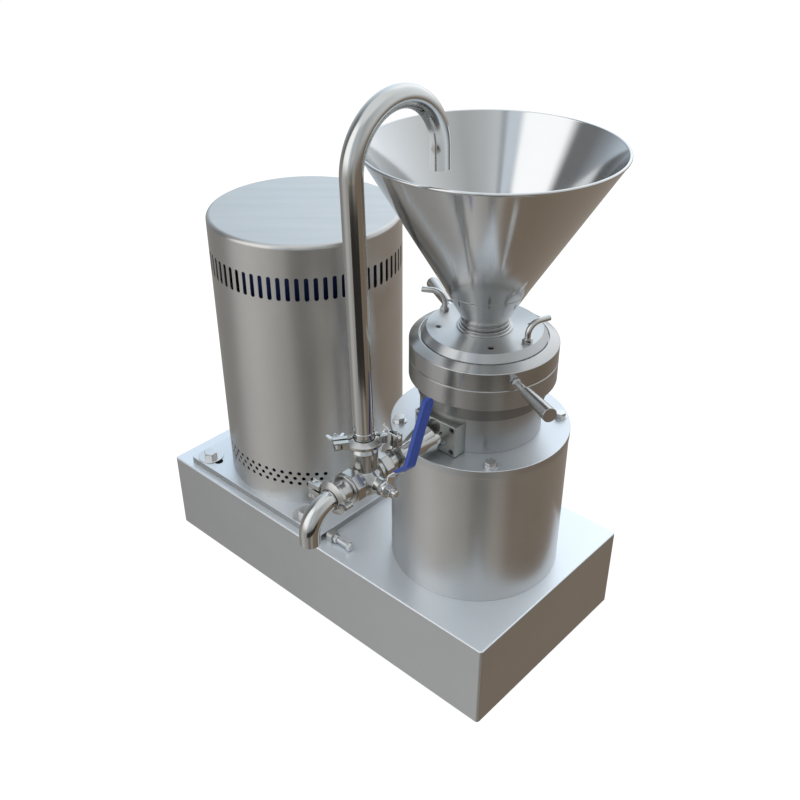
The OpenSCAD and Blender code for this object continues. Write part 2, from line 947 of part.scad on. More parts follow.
// Slanted grooves cut along a cone: deep is how far they reach in from the cone's surface
module cone_grooves(deep, z0, z1, r0, r1) {
  rise = z1 - z0;
  flank = atan2(r0 - r1, rise);
  w = 4;
  for (i = [0 : tooth_count - 1])
    rotate([0, 0, i * 360 / tooth_count])
      translate([(r0 + r1) / 2, 0, (z0 + z1) / 2])
        rotate([0, -flank, 0])
          rotate([tooth_slant, 0, 0])
            translate([-deep, -w / 2, -rise])
              cube([2 * deep, w, 2 * rise]);
}

module rotor() {
  foot_h = 12;
  color(polished)
    translate([mill_x, 0, 0])
      difference() {
        translate([0, 0, rotor_z])
          cylinder(d1 = rotor_d, d2 = rotor_top_d, h = rotor_h);
        translate([0, 0, rotor_z - eps])
          cylinder(d = rotor_seat_d, h = rotor_h + 2 * eps);
        cone_grooves(tooth_deep, rotor_z + foot_h, rotor_top_z, cone_r(rotor_z + foot_h), rotor_top_d / 2);
      }
}

module rotor_nut() {
  wing_h = 14;
  color(polished)
    translate([mill_x, 0, rotor_top_z])
      difference() {
        union() {
          cylinder(d = hex_d(nut_thread_d), h = 18, $fn = 6);
          for (a = [0, 180])
            rotate([0, 0, a])
              translate([nut_thread_d / 2 + 3, -2, 0])
                cube([rotor_top_d / 2 - nut_thread_d / 2 - 8, 4, wing_h]);
        }
        translate([0, 0, -eps])
          cylinder(d = nut_thread_d + 2 * run, h = 30);
      }
}

module stator() {
  foot_r = cone_r(stator_foot_z) + grind_gap;
  top_r = rotor_top_d / 2 + grind_gap;
  color(polished)
    translate([mill_x, 0, 0])
      difference() {
        union() {
          translate([0, 0, stator_foot_z])
            cylinder(d = stator_d, h = stator_z - stator_foot_z);
          translate([0, 0, ring_z + 3])
            cylinder(d = head_d + 0.8, h = stator_z - ring_z - 3);
        }
        translate([0, 0, stator_foot_z])
          cylinder(r1 = foot_r, r2 = top_r, h = rotor_top_z - stator_foot_z);
        translate([0, 0, stator_foot_z - eps])
          cylinder(r = foot_r, h = eps);
        translate([0, 0, rotor_top_z - eps])
          cylinder(r = top_r, h = stator_z - rotor_top_z + 2 * eps);
        cone_grooves(tooth_deep, stator_foot_z, rotor_top_z, foot_r, top_r);
      }
}

module scale_collar() {
  color(steel)
    translate([mill_x, 0, collar_z])
      pipe(ring_d, step_d + 2 * fit, collar_h);
}

module adjusting_ring() {
  color(steel)
    difference() {
      translate([mill_x, 0, ring_z])
        rotate_extrude()
          polygon([[ring_bore_d / 2, gap], [ring_d / 2, gap], [ring_d / 2, ring_h - 2],
            [ring_d / 2 - 2, ring_h], [ring_bore_d / 2 + 3, ring_h + ring_crown],
            [ring_bore_d / 2, ring_h + ring_crown]]);
      at_handles()
        translate([0, 0, -10])
          cylinder(d = stud_d + 2 * run, h = 40);
    }
}

// Places things at the two handles: z = 0 lies at the ring's outer face, +Z points out along the handle
module at_handles() {
  for (a = [handle_angle, handle_angle + 180])
    translate([mill_x, 0, ring_z + ring_h / 2 - 2])
      rotate([0, 0, a])
        translate([ring_d / 2, 0, 0])
          rotate([0, 90 - handle_tilt, 0])
            children();
}

handle_l = (handle_reach - ring_d / 2) / cos(handle_tilt);

module handle_studs() {
  color(zinc)
    at_handles() {
      translate([0, 0, -9])
        cylinder(d = stud_d, h = 9 + stud_l);
      translate([0, 0, 2])
        cylinder(d = hex_d(stud_d) - 6, h = 6, $fn = 6);
    }
}

module handle_grips() {
  color(steel)
    at_handles()
      translate([0, 0, stud_l])
        cylinder(d1 = grip_d, d2 = grip_end_d, h = handle_l - stud_l);
}

module head_cover() {
  color(polished)
    difference() {
      translate([mill_x, 0, stator_z])
        rotate_extrude()
          polygon([[feed_d / 2, 0], [head_d / 2, 0], [head_d / 2, head_z - stator_z],
            [head_d / 2 - head_bevel_in, disc_z - stator_z], [feed_d / 2, disc_z - stator_z]]);
      at_mill_circle(2 * screw_r)
        translate([0, 0, stator_z - eps])
          cylinder(d = screw_d + 2 * fit, h = disc_z - stator_z + 2 * eps);
      at_mill_circle(2 * screw_r)
        translate([0, 0, disc_z - screw_d])
          cylinder(d = 1.5 * screw_d + 2 * fit, h = 40);
      at_nozzles()
        translate([0, 0, -nozzle_foot - 1])
          cylinder(d = nozzle_d + 2 * fit, h = nozzle_foot + 2);
    }
}

module cover_screws() {
  color(zinc)
    at_mill_circle(2 * screw_r)
      translate([0, 0, disc_z - screw_d])
        cap_screw(screw_d, disc_z - screw_d - stator_z - 1);
}

// Places things at the two nozzles, with +X along each tail
module at_nozzles() {
  for (side = [[0, 71], [180, 29]])
    translate([mill_x, 0, disc_z])
      rotate([0, 0, side[0]])
        translate([nozzle_r, 0, 0])
          rotate([0, 0, side[1]])
            children();
}

// Solid of a nozzle tube that runs on by over at both ends
module nozzle_core(d, over) {
  rise = 15;
  translate([0, 0, -nozzle_foot - over])
    cylinder(d = d, h = nozzle_foot + rise + over);
  translate([0, 0, rise]) {
    bend(d, nozzle_bend, 90);
    translate([nozzle_bend, 0, nozzle_bend])
      rotate([0, 90, 0])
        cylinder(d = d, h = nozzle_end + over);
  }
}

module water_nozzles() {
  hex_h = 9;
  color(polished)
    at_nozzles()
      difference() {
        union() {
          cylinder(d = nozzle_d * 1.75, h = hex_h, $fn = 6);
          nozzle_core(nozzle_d, 0);
        }
        nozzle_core(nozzle_d - 4, eps);
      }
}

// Hopper

throat_z = disc_z;
seam_z = disc_z + seam_h;
rim_z = disc_z + hopper_h;

module hopper() {
  foot_z = throat_z + throat_h;
  foot_r = throat_d / 2 - 2;
  lip_r = hopper_d / 2 - rim_d / 2;
  lip_z = rim_z - rim_d / 2;
  color(polished)
    translate([mill_x, 0, 0])
      rotate_extrude() {
        polygon([[foot_r - hopper_wall, foot_z], [foot_r, foot_z], [seam_d / 2, seam_z],
          [lip_r, lip_z], [lip_r - hopper_wall, lip_z], [seam_d / 2 - 1.2 * hopper_wall, seam_z]]);
        translate([lip_r, lip_z])
          circle(d = rim_d);
      }
}

module hopper_throat() {
  foot_t = 4;
  color(polished)
    translate([mill_x, 0, throat_z])
      rotate_extrude()
        polygon([[feed_d / 2, 0], [throat_foot_d / 2, 0], [throat_foot_d / 2, foot_t],
          [throat_d / 2 + 2, foot_t + 4], [throat_d / 2, foot_t + 8], [throat_d / 2, throat_h],
          [feed_d / 2, throat_h]]);
}

// Discharge line

module outlet_block() {
  color(steel)
    difference() {
      translate([mill_x - block_w / 2, -block_y, flange_z + 1.5])
        cube([block_w, block_y - 20, block_h]);
      translate([mill_x, 0, flange_z - 10])
        cylinder(d = neck_d + 2 * fit, h = block_h + 40);
      translate([mill_x, -block_y / 2, line_z])
        rotate([90, 0, 0])
          cylinder(d = tube_d - 2 * tube_wall, h = block_y);
      at_block_screws()
        translate([0, 0, -block_y + 20])
          cylinder(d = screw_d + 2 * fit, h = block_y);
      at_block_screws()
        translate([0, 0, -block_sink])
          cylinder(d = 1.5 * screw_d + 2 * gap, h = block_sink + eps);
    }
}

module outlet_screws() {
  color(zinc)
    at_block_screws()
      translate([0, 0, -block_sink])
        cap_screw(screw_d, block_screw_l);
}

// Tube axis along -Y, starting at the outlet block's face
module outlet_stub() {
  cone_end = stub_wide_l + stub_cone_l;
  color(polished)
    translate([mill_x, -block_y, line_z])
      rotate([90, 0, 0])
        difference() {
          union() {
            cylinder(d = stub_pipe_d, h = stub_wide_l);
            translate([0, 0, stub_wide_l])
              cylinder(d1 = stub_pipe_d, d2 = tube_d, h = stub_cone_l);
            translate([0, 0, stub_pipe_l])
              mirror([0, 0, 1])
                ferrule(tube_d, stub_pipe_l - cone_end);
          }
          translate([0, 0, -eps])
            cylinder(d = tube_d - 2 * tube_wall, h = stub_pipe_l + 2 * eps);
        }
}

// Points +Z along the valve's two ports on the discharge line
module at_line_ports() {
  for (turn = [90, -90])
    translate(valve_at)
      rotate([turn, 0, 0])
        children();
}

// Points +Z along each of the valve's three ports
module at_ports() {
  at_line_ports()
    children();
  translate(valve_at)
    children();
}

module valve_body() {
  bore = tube_d - 2 * tube_wall;
  body_d = ball_d + 18;
  cap_d = ball_d + 10;
  cap_start = ball_d / 2 + 2;
  cap_end = port_l - 28;
  end_d = tube_d + 2;
  top_d = ball_d - 4;
  color(polished)
    difference() {
      union() {
        translate(valve_at)
          sphere(d = body_d);
        at_line_ports() {
          cylinder(d = cap_d - 6, h = cap_end);
          translate([0, 0, cap_start])
            cylinder(d = cap_d, h = cap_end - cap_start - 5, $fn = 8);
          translate([0, 0, port_l])
            mirror([0, 0, 1])
              ferrule(end_d, port_l - cap_end + eps);
        }
        translate(valve_at) {
          cylinder(d = top_d, h = port_l - 17);
          translate([0, 0, port_l - 17])
            cylinder(d1 = top_d, d2 = end_d, h = 8);
          translate([0, 0, port_l])
            mirror([0, 0, 1])
              ferrule(end_d, 10);
        }
        translate(valve_at)
          rotate([0, 90, 0])
            cylinder(d = bonnet_d, h = bonnet_x);
      }
      translate(valve_at)
        sphere(d = ball_room_d);
      at_ports()
        cylinder(d = bore, h = port_l + eps);
      translate(valve_at)
        rotate([0, 90, 0])
          cylinder(d = stem_d + 2 * run, h = bonnet_x + eps);
    }
}

module gland_nut() {
  color(zinc)
    translate(valve_at)
      rotate([0, 90, 0])
        translate([0, 0, bonnet_x])
          hex_nut(stem_d + 3, gland_h);
}

module valve_seats() {
  seat_foot = ball_d / 4;
  color(white)
    difference() {
      intersection() {
        at_ports()
          translate([0, 0, seat_foot])
            pipe(0.72 * ball_d, ball_bore_d, ball_d);
        translate(valve_at)
          sphere(d = ball_room_d - 2 * fit);
      }
      translate(valve_at)
        sphere(d = ball_d + 2 * gap);
    }
}

module valve_ball() {
  color(polished)
    translate(valve_at)
      rotate([lever_angle - 67, 0, 0])
        difference() {
          sphere(d = ball_d);
          rotate([90, 0, 0])
            cylinder(d = ball_bore_d, h = ball_d, center = true);
          cylinder(d = ball_bore_d, h = ball_d);
          translate([ball_d / 2 - 5, -3, -ball_d / 2])
            cube([10, 6, ball_d]);
        }
}

module valve_stem() {
  color(steel)
    translate(valve_at)
      rotate([0, 90, 0]) {
        translate([0, 0, ball_d / 2 + 0.5])
          cylinder(d = stem_d, h = stem_tip_x - ball_d / 2 - 0.5);
        translate([-5.5, -2.9, ball_d / 2 - 4.9])
          cube([11, 5.8, 6]);
      }
}

// Side profile of the lever in the plane of arm and stem, thickened by grow on each face
module lever_profile(start, end, grow) {
  thick = lever_t + grow;
  rise = lever_offset / (joggle_end - joggle_start);
  joggle_x = max(0, (start - joggle_start) * rise);
  out = lever_x + lever_offset;
  polygon(concat(
    start < joggle_start ? [[start, lever_x - grow], [joggle_start, lever_x - grow]]
      : [[start, lever_x + joggle_x - grow]],
    [[joggle_end, out - grow], [end, out - grow], [end, out + thick], [joggle_end, out + thick]],
    start < joggle_start ? [[joggle_start, lever_x + thick], [start, lever_x + thick]]
      : [[start, lever_x + joggle_x + thick]]));
}

// Turns a profile drawn as (along the arm, out along the stem) to the lever's place, w wide
module lever_arm(w) {
  translate(valve_at)
    rotate([lever_angle, 0, 0])
      translate([0, 0, -w / 2])
        linear_extrude(w)
          mirror([1, -1, 0])
            children();
}

module valve_lever() {
  color(steel)
    difference() {
      union() {
        lever_arm(lever_w)
          lever_profile(-lever_w / 2, lever_l - 6, 0);
        translate(valve_at)
          rotate([0, 90, 0])
            translate([0, 0, lever_x - hub_rim])
              cylinder(d = lever_w + 12, h = lever_t + 2 * hub_rim);
      }
      translate(valve_at)
        rotate([0, 90, 0])
          cylinder(d = stem_d + 2 * run, h = stem_tip_x);
    }
}

module lever_sleeve() {
  color(lever_blue)
    difference() {
      lever_arm(lever_w + 2 * sleeve_wall)
        lever_profile(grip_start, lever_l, sleeve_wall);
      lever_arm(lever_w + 2 * run)
        lever_profile(0, lever_l - 6 + run, run);
    }
}

module stem_nut() {
  color(zinc)
    translate(valve_at)
      rotate([0, 90, 0])
        translate([0, 0, lever_x + lever_t + hub_rim])
          hex_nut(stem_d, stem_nut_h);
}

// Clamps: ring axis along Z, bolt on the -X side, hinge on the +X side, wing nut facing +Y

module clamp_half(side) {
  inner_r = ferrule_d / 2 + gap;
  groove = gasket_t / 2 + ferrule_rim + gap;
  lip_r = tube_d / 2 + 2;
  keep = clamp_d;
  knuckle_h = side > 0 ? clamp_w / 3 : clamp_w;
  difference() {
    union() {
      rotate_extrude()
        polygon([[inner_r, -groove], [lip_r, -clamp_w / 2], [lip_r + 2, -clamp_w / 2],
          [clamp_d / 2, -clamp_edge / 2], [clamp_d / 2, clamp_edge / 2], [lip_r + 2, clamp_w / 2],
          [lip_r, clamp_w / 2], [inner_r, groove]]);
      translate([-clamp_bolt_x - 9, side > 0 ? 0 : -clamp_lug_t - clamp_gap / 2, -clamp_w / 2])
        cube([clamp_bolt_x + 9 - clamp_d / 2 + 4, clamp_lug_t + clamp_gap / 2, clamp_w]);
    }
    translate([-keep * 2, side > 0 ? -keep * 4 + clamp_gap / 2 : -clamp_gap / 2, -keep])
      cube([keep * 4, keep * 4, keep * 2]);
    translate([-clamp_bolt_x - 20, -keep, -clamp_bolt_d / 2 - gap])
      cube([20 + clamp_eye_d / 2 + gap, 2 * keep, clamp_bolt_d + 2 * gap]);
    translate([hinge_x, 0, -clamp_w])
      cylinder(d = hinge_d + 2 * gap, h = 2 * clamp_w);
  }
  difference() {
    union() {
      translate([hinge_x, 0, -knuckle_h / 2])
        cylinder(d = hinge_d, h = knuckle_h);
      translate([hinge_x - hinge_d / 2 - 3, side > 0 ? clamp_gap / 2 : -hinge_d / 2, -knuckle_h / 2])
        cube([hinge_d / 2 + 3, hinge_d / 2 - clamp_gap / 2, knuckle_h]);
    }
    translate([hinge_x, 0, -clamp_w])
      cylinder(d = 5 + 2 * run, h = 2 * clamp_w);
    cylinder(r = inner_r + 4, h = 4 * clamp_w, center = true);
    if (side < 0)
      translate([hinge_x - hinge_d, -hinge_d, -clamp_w / 6 - gap])
        cube([2 * hinge_d, 2 * hinge_d, clamp_w / 3 + 2 * gap]);
  }
}

module clamp() {
  color(polished) {
    clamp_half(1);
    clamp_half(-1);
    translate([hinge_x, 0, -clamp_w / 2])
      cylinder(d = 5, h = clamp_w);
  }
}

module clamp_bolt() {
  eye_y = -clamp_gap / 2 - clamp_lug_t / 2;
  eye_h = clamp_bolt_d + gap;
  translate([-clamp_bolt_x, 0, 0]) {
    translate([0, eye_y, 0])
      rotate([-90, 0, 0])
        cylinder(d = clamp_bolt_d, h = 36);
    translate([0, eye_y, -eye_h / 2])
      cylinder(d = clamp_eye_d, h = eye_h);
  }
}

module wing_nut() {
  seat_y = clamp_gap / 2 + clamp_lug_t + gap;
  translate([-clamp_bolt_x, seat_y, 0])
    rotate([-90, 0, 0])
      difference() {
        union() {
          cylinder(d1 = 17, d2 = 14, h = 10);
          for (a = [0, 180])
            rotate([90, 0, a])
              linear_extrude(wing_t, center = true)
                polygon([[4.8, 3], [8, 3], [16.5, 13], [16, 19], [11, 19], [4.8, 10]]);
        }
        translate([0, 0, -eps])
          cylinder(d = clamp_bolt_d + 2 * run, h = 30);
      }
}

// Places of the three clamps, each with its ring axis turned onto the tube
inlet_clamp_at = [mill_x, -stub_face_y - gasket_t / 2, line_z];
outlet_clamp_at = [mill_x, -spout_face_y + gasket_t / 2, line_z];
top_clamp_at = [mill_x, -valve_y, line_z + port_l + gasket_t / 2];
top_clamp_turn = 55;

module at_inlet_clamp() {
  translate(inlet_clamp_at)
    rotate([0, 90, 0])
      rotate([-90, 0, 0])
        children();
}

module at_outlet_clamp() {
  translate(outlet_clamp_at)
    rotate([-90, 0, 0])
      children();
}

module at_top_clamp() {
  translate(top_clamp_at)
    rotate([0, 0, top_clamp_turn])
      children();
}

module tube_clamps() {
  at_inlet_clamp()
    clamp();
  at_outlet_clamp()
    clamp();
  at_top_clamp()
    clamp();
}

module clamp_bolts() {
  color(zinc) {
    at_inlet_clamp()
      clamp_bolt();
    at_outlet_clamp()
      clamp_bolt();
    at_top_clamp()
      clamp_bolt();
  }
}

module inlet_wing_nut() {
  color(zinc)
    at_inlet_clamp()
      wing_nut();
}

module outlet_wing_nut() {
  color(zinc)
    at_outlet_clamp()
      wing_nut();
}

module top_wing_nut() {
  color(zinc)
    at_top_clamp()
      wing_nut();
}

module clamp_gaskets() {
  color(white)
    at_ports()
      translate([0, 0, port_l])
        pipe(ferrule_d - 2, tube_d - 2 * tube_wall, gasket_t);
}

module spout_core(d, over) {
  translate([0, 0, -over])
    cylinder(d = d, h = spout_start + over);
  translate([0, 0, spout_start]) {
    bend(d, spout_bend, 90);
    translate([spout_bend, 0, spout_bend])
      rotate([0, 90, 0])
        cylinder(d = d, h = spout_end + over);
  }
}

module spout_elbow() {
  color(polished)
    translate([mill_x, -spout_face_y, line_z])
      rotate([90, 0, 0])
        rotate([0, 0, -90])
          difference() {
            union() {
              ferrule(tube_d, spout_start);
              spout_core(tube_d, 0);
            }
            spout_core(tube_d - 2 * tube_wall, eps);
          }
}

// Return pipe: a ferrule on the top clamp, then a leaning tube that hooks over the hopper's rim

// Leaning tube that runs down by foot below the lean's start and on by over at its open end
module return_core(d, foot, over) {
  leg = return_h - port_l - gasket_t - lean_z;
  translate([0, 0, -foot])
    cylinder(d = d, h = leg + foot);
  translate([0, 0, leg]) {
    bend(d, return_bend, 180);
    translate([2 * return_bend, 0, -return_drop - over])
      cylinder(d = d, h = return_drop + over);
  }
}

module return_pipe() {
  bore = tube_d - 2 * tube_wall;
  color(polished)
    translate([mill_x, -valve_y, line_z + port_l + gasket_t])
      rotate([0, 0, 90])
        difference() {
          union() {
            ferrule(tube_d + 1.2, 2 * lean_z - 4);
            translate([0, 0, lean_z])
              rotate([0, -return_lean, 0])
                return_core(tube_d, lean_z - 4, 0);
          }
          translate([0, 0, lean_z])
            rotate([0, -return_lean, 0])
              return_core(bore, 2, eps);
          translate([0, 0, -eps])
            cylinder(d = bore + 0.8, h = lean_z + 2 + eps);
        }
}

base_frame();
motor_plate();
plate_bolts();
plate_washers();
tension_lug();
tension_bolt();
tension_nut();
motor_cover();
motor_flange();
motor_flange_bolts();
motor_frame();
motor_end_shield();
fan_cowl();
motor_bearings();
motor_shaft();
motor_rotor_core();
motor_fan();
motor_pulley();
drive_belts();
mill_pulley();
mill_spindle();
spindle_bearings();
bearing_housing();
mill_stand();
stand_flange();
flange_bolts();
mill_housing();
seal_seat();
seal_ring();
rotor();
rotor_nut();
stator();
scale_collar();
adjusting_ring();
handle_studs();
handle_grips();
head_cover();
cover_screws();
water_nozzles();
hopper();
hopper_throat();
outlet_block();
outlet_screws();
outlet_stub();
valve_body();
gland_nut();
valve_seats();
valve_ball();
valve_stem();
valve_lever();
lever_sleeve();
stem_nut();
clamp_gaskets();
tube_clamps();
clamp_bolts();
inlet_wing_nut();
top_wing_nut();
outlet_wing_nut();
spout_elbow();
return_pipe();
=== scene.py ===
import bmesh
import bpy
import json
import math
from mathutils import Matrix, Vector


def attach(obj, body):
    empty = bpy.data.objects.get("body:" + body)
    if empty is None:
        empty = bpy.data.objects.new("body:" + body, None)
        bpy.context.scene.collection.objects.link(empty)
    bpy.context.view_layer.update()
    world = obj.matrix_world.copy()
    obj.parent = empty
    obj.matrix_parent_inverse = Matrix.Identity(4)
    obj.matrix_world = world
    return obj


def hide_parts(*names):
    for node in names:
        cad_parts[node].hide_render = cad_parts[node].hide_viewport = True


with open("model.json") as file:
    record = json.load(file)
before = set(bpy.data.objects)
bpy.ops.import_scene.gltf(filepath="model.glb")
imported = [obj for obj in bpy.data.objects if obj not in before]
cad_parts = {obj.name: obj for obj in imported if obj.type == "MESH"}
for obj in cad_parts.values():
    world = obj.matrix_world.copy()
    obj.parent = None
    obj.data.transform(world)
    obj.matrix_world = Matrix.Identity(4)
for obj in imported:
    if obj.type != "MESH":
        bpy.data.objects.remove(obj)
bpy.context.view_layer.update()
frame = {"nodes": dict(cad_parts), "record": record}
cadNodes = frame["nodes"]
mm = 0.001  # pieces are sized in millimetres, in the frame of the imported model; the studio is in metres
millX = 281
motorX = -229
valveAt = (millX, -344, 584)
baseTop = 206
plateTop = 222
standTop = 527.5
flangeTop = 545.5
headTop = 764.5
print("frame loaded:", len(cadNodes), "nodes")


class Value:  # wraps a socket so that shader maths reads as plain Python
    def __init__(self, tree, socket):
        self.tree = tree
        self.socket = socket

    def maths(self, operation, first, second):
        node = self.tree.nodes.new("ShaderNodeMath")
        node.operation = operation
        for slot, end in zip(node.inputs, (first, second)):
            if isinstance(end, Value):
                self.tree.links.new(end.socket, slot)
            else:
                slot.default_value = end
        return Value(self.tree, node.outputs[0])

    def __add__(self, other):
        return self.maths("ADD", self, other)

    def __sub__(self, other):
        return self.maths("SUBTRACT", self, other)

    def __rsub__(self, other):
        return self.maths("SUBTRACT", other, self)

    def __mul__(self, other):
        return self.maths("MULTIPLY", self, other)

    def __truediv__(self, other):
        return self.maths("DIVIDE", self, other)


class Shader:  # one node tree with a single way of adding nodes
    def __init__(self, tree):
        self.tree = tree
        tree.nodes.clear()

    def add(self, kind, settings=None, **inputs):
        node = self.tree.nodes.new("ShaderNode" + kind)
        for key, setting in (settings or {}).items():
            if key == "stops":
                ramp = node.color_ramp
                while len(ramp.elements) < len(setting):
                    ramp.elements.new(0.5)
                for element, (place, colour) in zip(ramp.elements, setting):
                    element.position = place
                    element.color = (*colour, 1)
            else:
                setattr(node, key, setting)
        for key, given in inputs.items():  # n0, n1 and so on are inputs by number
            numbered = key[0] == "n" and key[1:].isdigit()
            slot = node.inputs[int(key[1:]) if numbered else key.replace("_", " ")]
            if isinstance(given, Value):
                self.tree.links.new(given.socket, slot)
            elif isinstance(given, tuple) and slot.type == "RGBA":
                slot.default_value = (*given, 1)
            else:
                slot.default_value = given
        return node

    def out(self, node, name=0):
        return Value(self.tree, node.outputs[name])

    def split(self, vector):
        node = self.add("SeparateXYZ", Vector=vector)
        return self.out(node, "X"), self.out(node, "Y"), self.out(node, "Z")

    def join(self, x, y, z):
        return self.out(self.add("CombineXYZ", X=x, Y=y, Z=z))

    def noise(self, vector, scale, detail, roughness):
        return self.out(self.add("TexNoise", Vector=vector, Scale=scale, Detail=detail, Roughness=roughness))

    def blend(self, factor, low, high):
        return self.out(self.add("Mix", {"data_type": "RGBA"}, n0=factor, n6=low, n7=high), 2)


def newMaterial(name):
    material = bpy.data.materials.new(name)
    material.use_nodes = True
    return material, Shader(material.node_tree)


def tinted(colour, factor):
    return tuple(min(1.0, c * factor) for c in colour)


# Metal finishes: grain "x" or "z" runs straight, "ring" runs round the axis, "cast" has no direction
finishes = {}
metals = {
    "satinSteel": {"colour": (0.60, 0.61, 0.62), "rough": 0.30, "grain": "x", "streak": 0.05,
                   "bump": 0.012, "dullSheenAbove": baseTop - 1},
    # the plate's darker colour shows mostly on its sides, as painted shade; its top takes the painted sheen
    "plateSteel": {"colour": (0.42, 0.415, 0.40), "rough": 0.30, "grain": "x", "streak": 0.05,
                   "bump": 0.012, "dullSheenAbove": plateTop - 1, "dullAndSheen": 0.9},
    "standSteel": {"colour": (0.60, 0.595, 0.585), "rough": 0.30, "grain": "ring", "axis": millX,
                   "streak": 0.04, "bump": 0.010, "stretch": 0.75},
    "flangeSteel": {"colour": (0.57, 0.58, 0.59), "rough": 0.32, "grain": "ring", "axis": millX,
                    "streak": 0.05, "bump": 0.010, "dullSheenAbove": flangeTop - 1, "dullAndSheen": 0.58},
    "coverSteel": {"colour": (0.58, 0.572, 0.555), "rough": 0.31, "grain": "ring", "axis": motorX,
                   "streak": 0.04, "bump": 0.010, "stretch": 0.8, "lidAbove": 874},
    "turnedSteel": {"colour": (0.49, 0.49, 0.485), "rough": 0.22, "grain": "ring", "axis": millX,
                    "streak": 0.10, "bump": 0.020, "stretch": 0.75},
    "collarSteel": {"colour": (0.47, 0.462, 0.45), "rough": 0.32, "grain": "ring", "axis": millX,
                    "streak": 0.10, "bump": 0.020, "stretch": 0.75},
    "neckSteel": {"colour": (0.43, 0.43, 0.425), "rough": 0.34, "grain": "ring", "axis": millX,
                  "streak": 0.06, "bump": 0.015, "stretch": 0.6, "paintedShadeAbove": 624},
    "blockSteel": {"colour": (0.50, 0.51, 0.49), "rough": 0.42, "grain": "z", "streak": 0.08, "bump": 0.015},
    "gripSteel": {"colour": (0.56, 0.56, 0.55), "rough": 0.24, "grain": "x", "streak": 0.06, "bump": 0.010},
    "discSteel": {"colour": (0.57, 0.58, 0.585), "rough": 0.36, "grain": "ring", "axis": millX,
                  "streak": 0.07, "bump": 0.010, "stretch": 0.95},
    "hopperSteel": {"colour": (0.66, 0.665, 0.665), "rough": 0.13, "grain": "ring", "axis": millX,
                    "streak": 0.03, "bump": 0.006, "stretch": 0.6},
    "pipeSteel": {"colour": (0.60, 0.60, 0.585), "rough": 0.12, "grain": "z", "streak": 0.02, "bump": 0.002},
    "castSteel": {"colour": (0.53, 0.53, 0.515), "rough": 0.21, "grain": "cast", "streak": 0.08,
                  "bump": 0.05},
    "boltSteel": {"colour": (0.72, 0.725, 0.73), "rough": 0.25, "grain": "cast", "streak": 0.08,
                  "bump": 0.03},
    "darkScrew": {"colour": (0.24, 0.24, 0.24), "rough": 0.24, "grain": "cast", "streak": 0.10,
                  "bump": 0.04},
    "shaftSteel": {"colour": (0.52, 0.52, 0.52), "rough": 0.3, "grain": "z", "streak": 0.1, "bump": 0.02},
}
# Noise scales: fine lies across the grain, the others along it
grainLines = {"fine": 300, "x": 6, "z": 8, "cast": 160, "ring": 1.6}
# random wear tone and roughness; shadow is the factor of the painted shade under the scale collar
wearAndShade = {"patch": 0.08, "smudge": 0.04, "level": 0.94, "darker": 0.72, "lighter": 1.06, "shadow": 0.6,
        "fog": 0.06}
# low and high are pale blue colours for top faces, a painted sheen of the light from above; fog and metal
# make those faces duller
dullTopAndSheen = {"low": (0.60, 0.65, 0.70), "high": (0.76, 0.81, 0.86), "fog": 0.08, "metal": 0.26}
lidBrush = {"x": 0.74, "y": 0.67, "along": 2.5, "across": 34, "darker": 0.78, "lighter": 1.06}


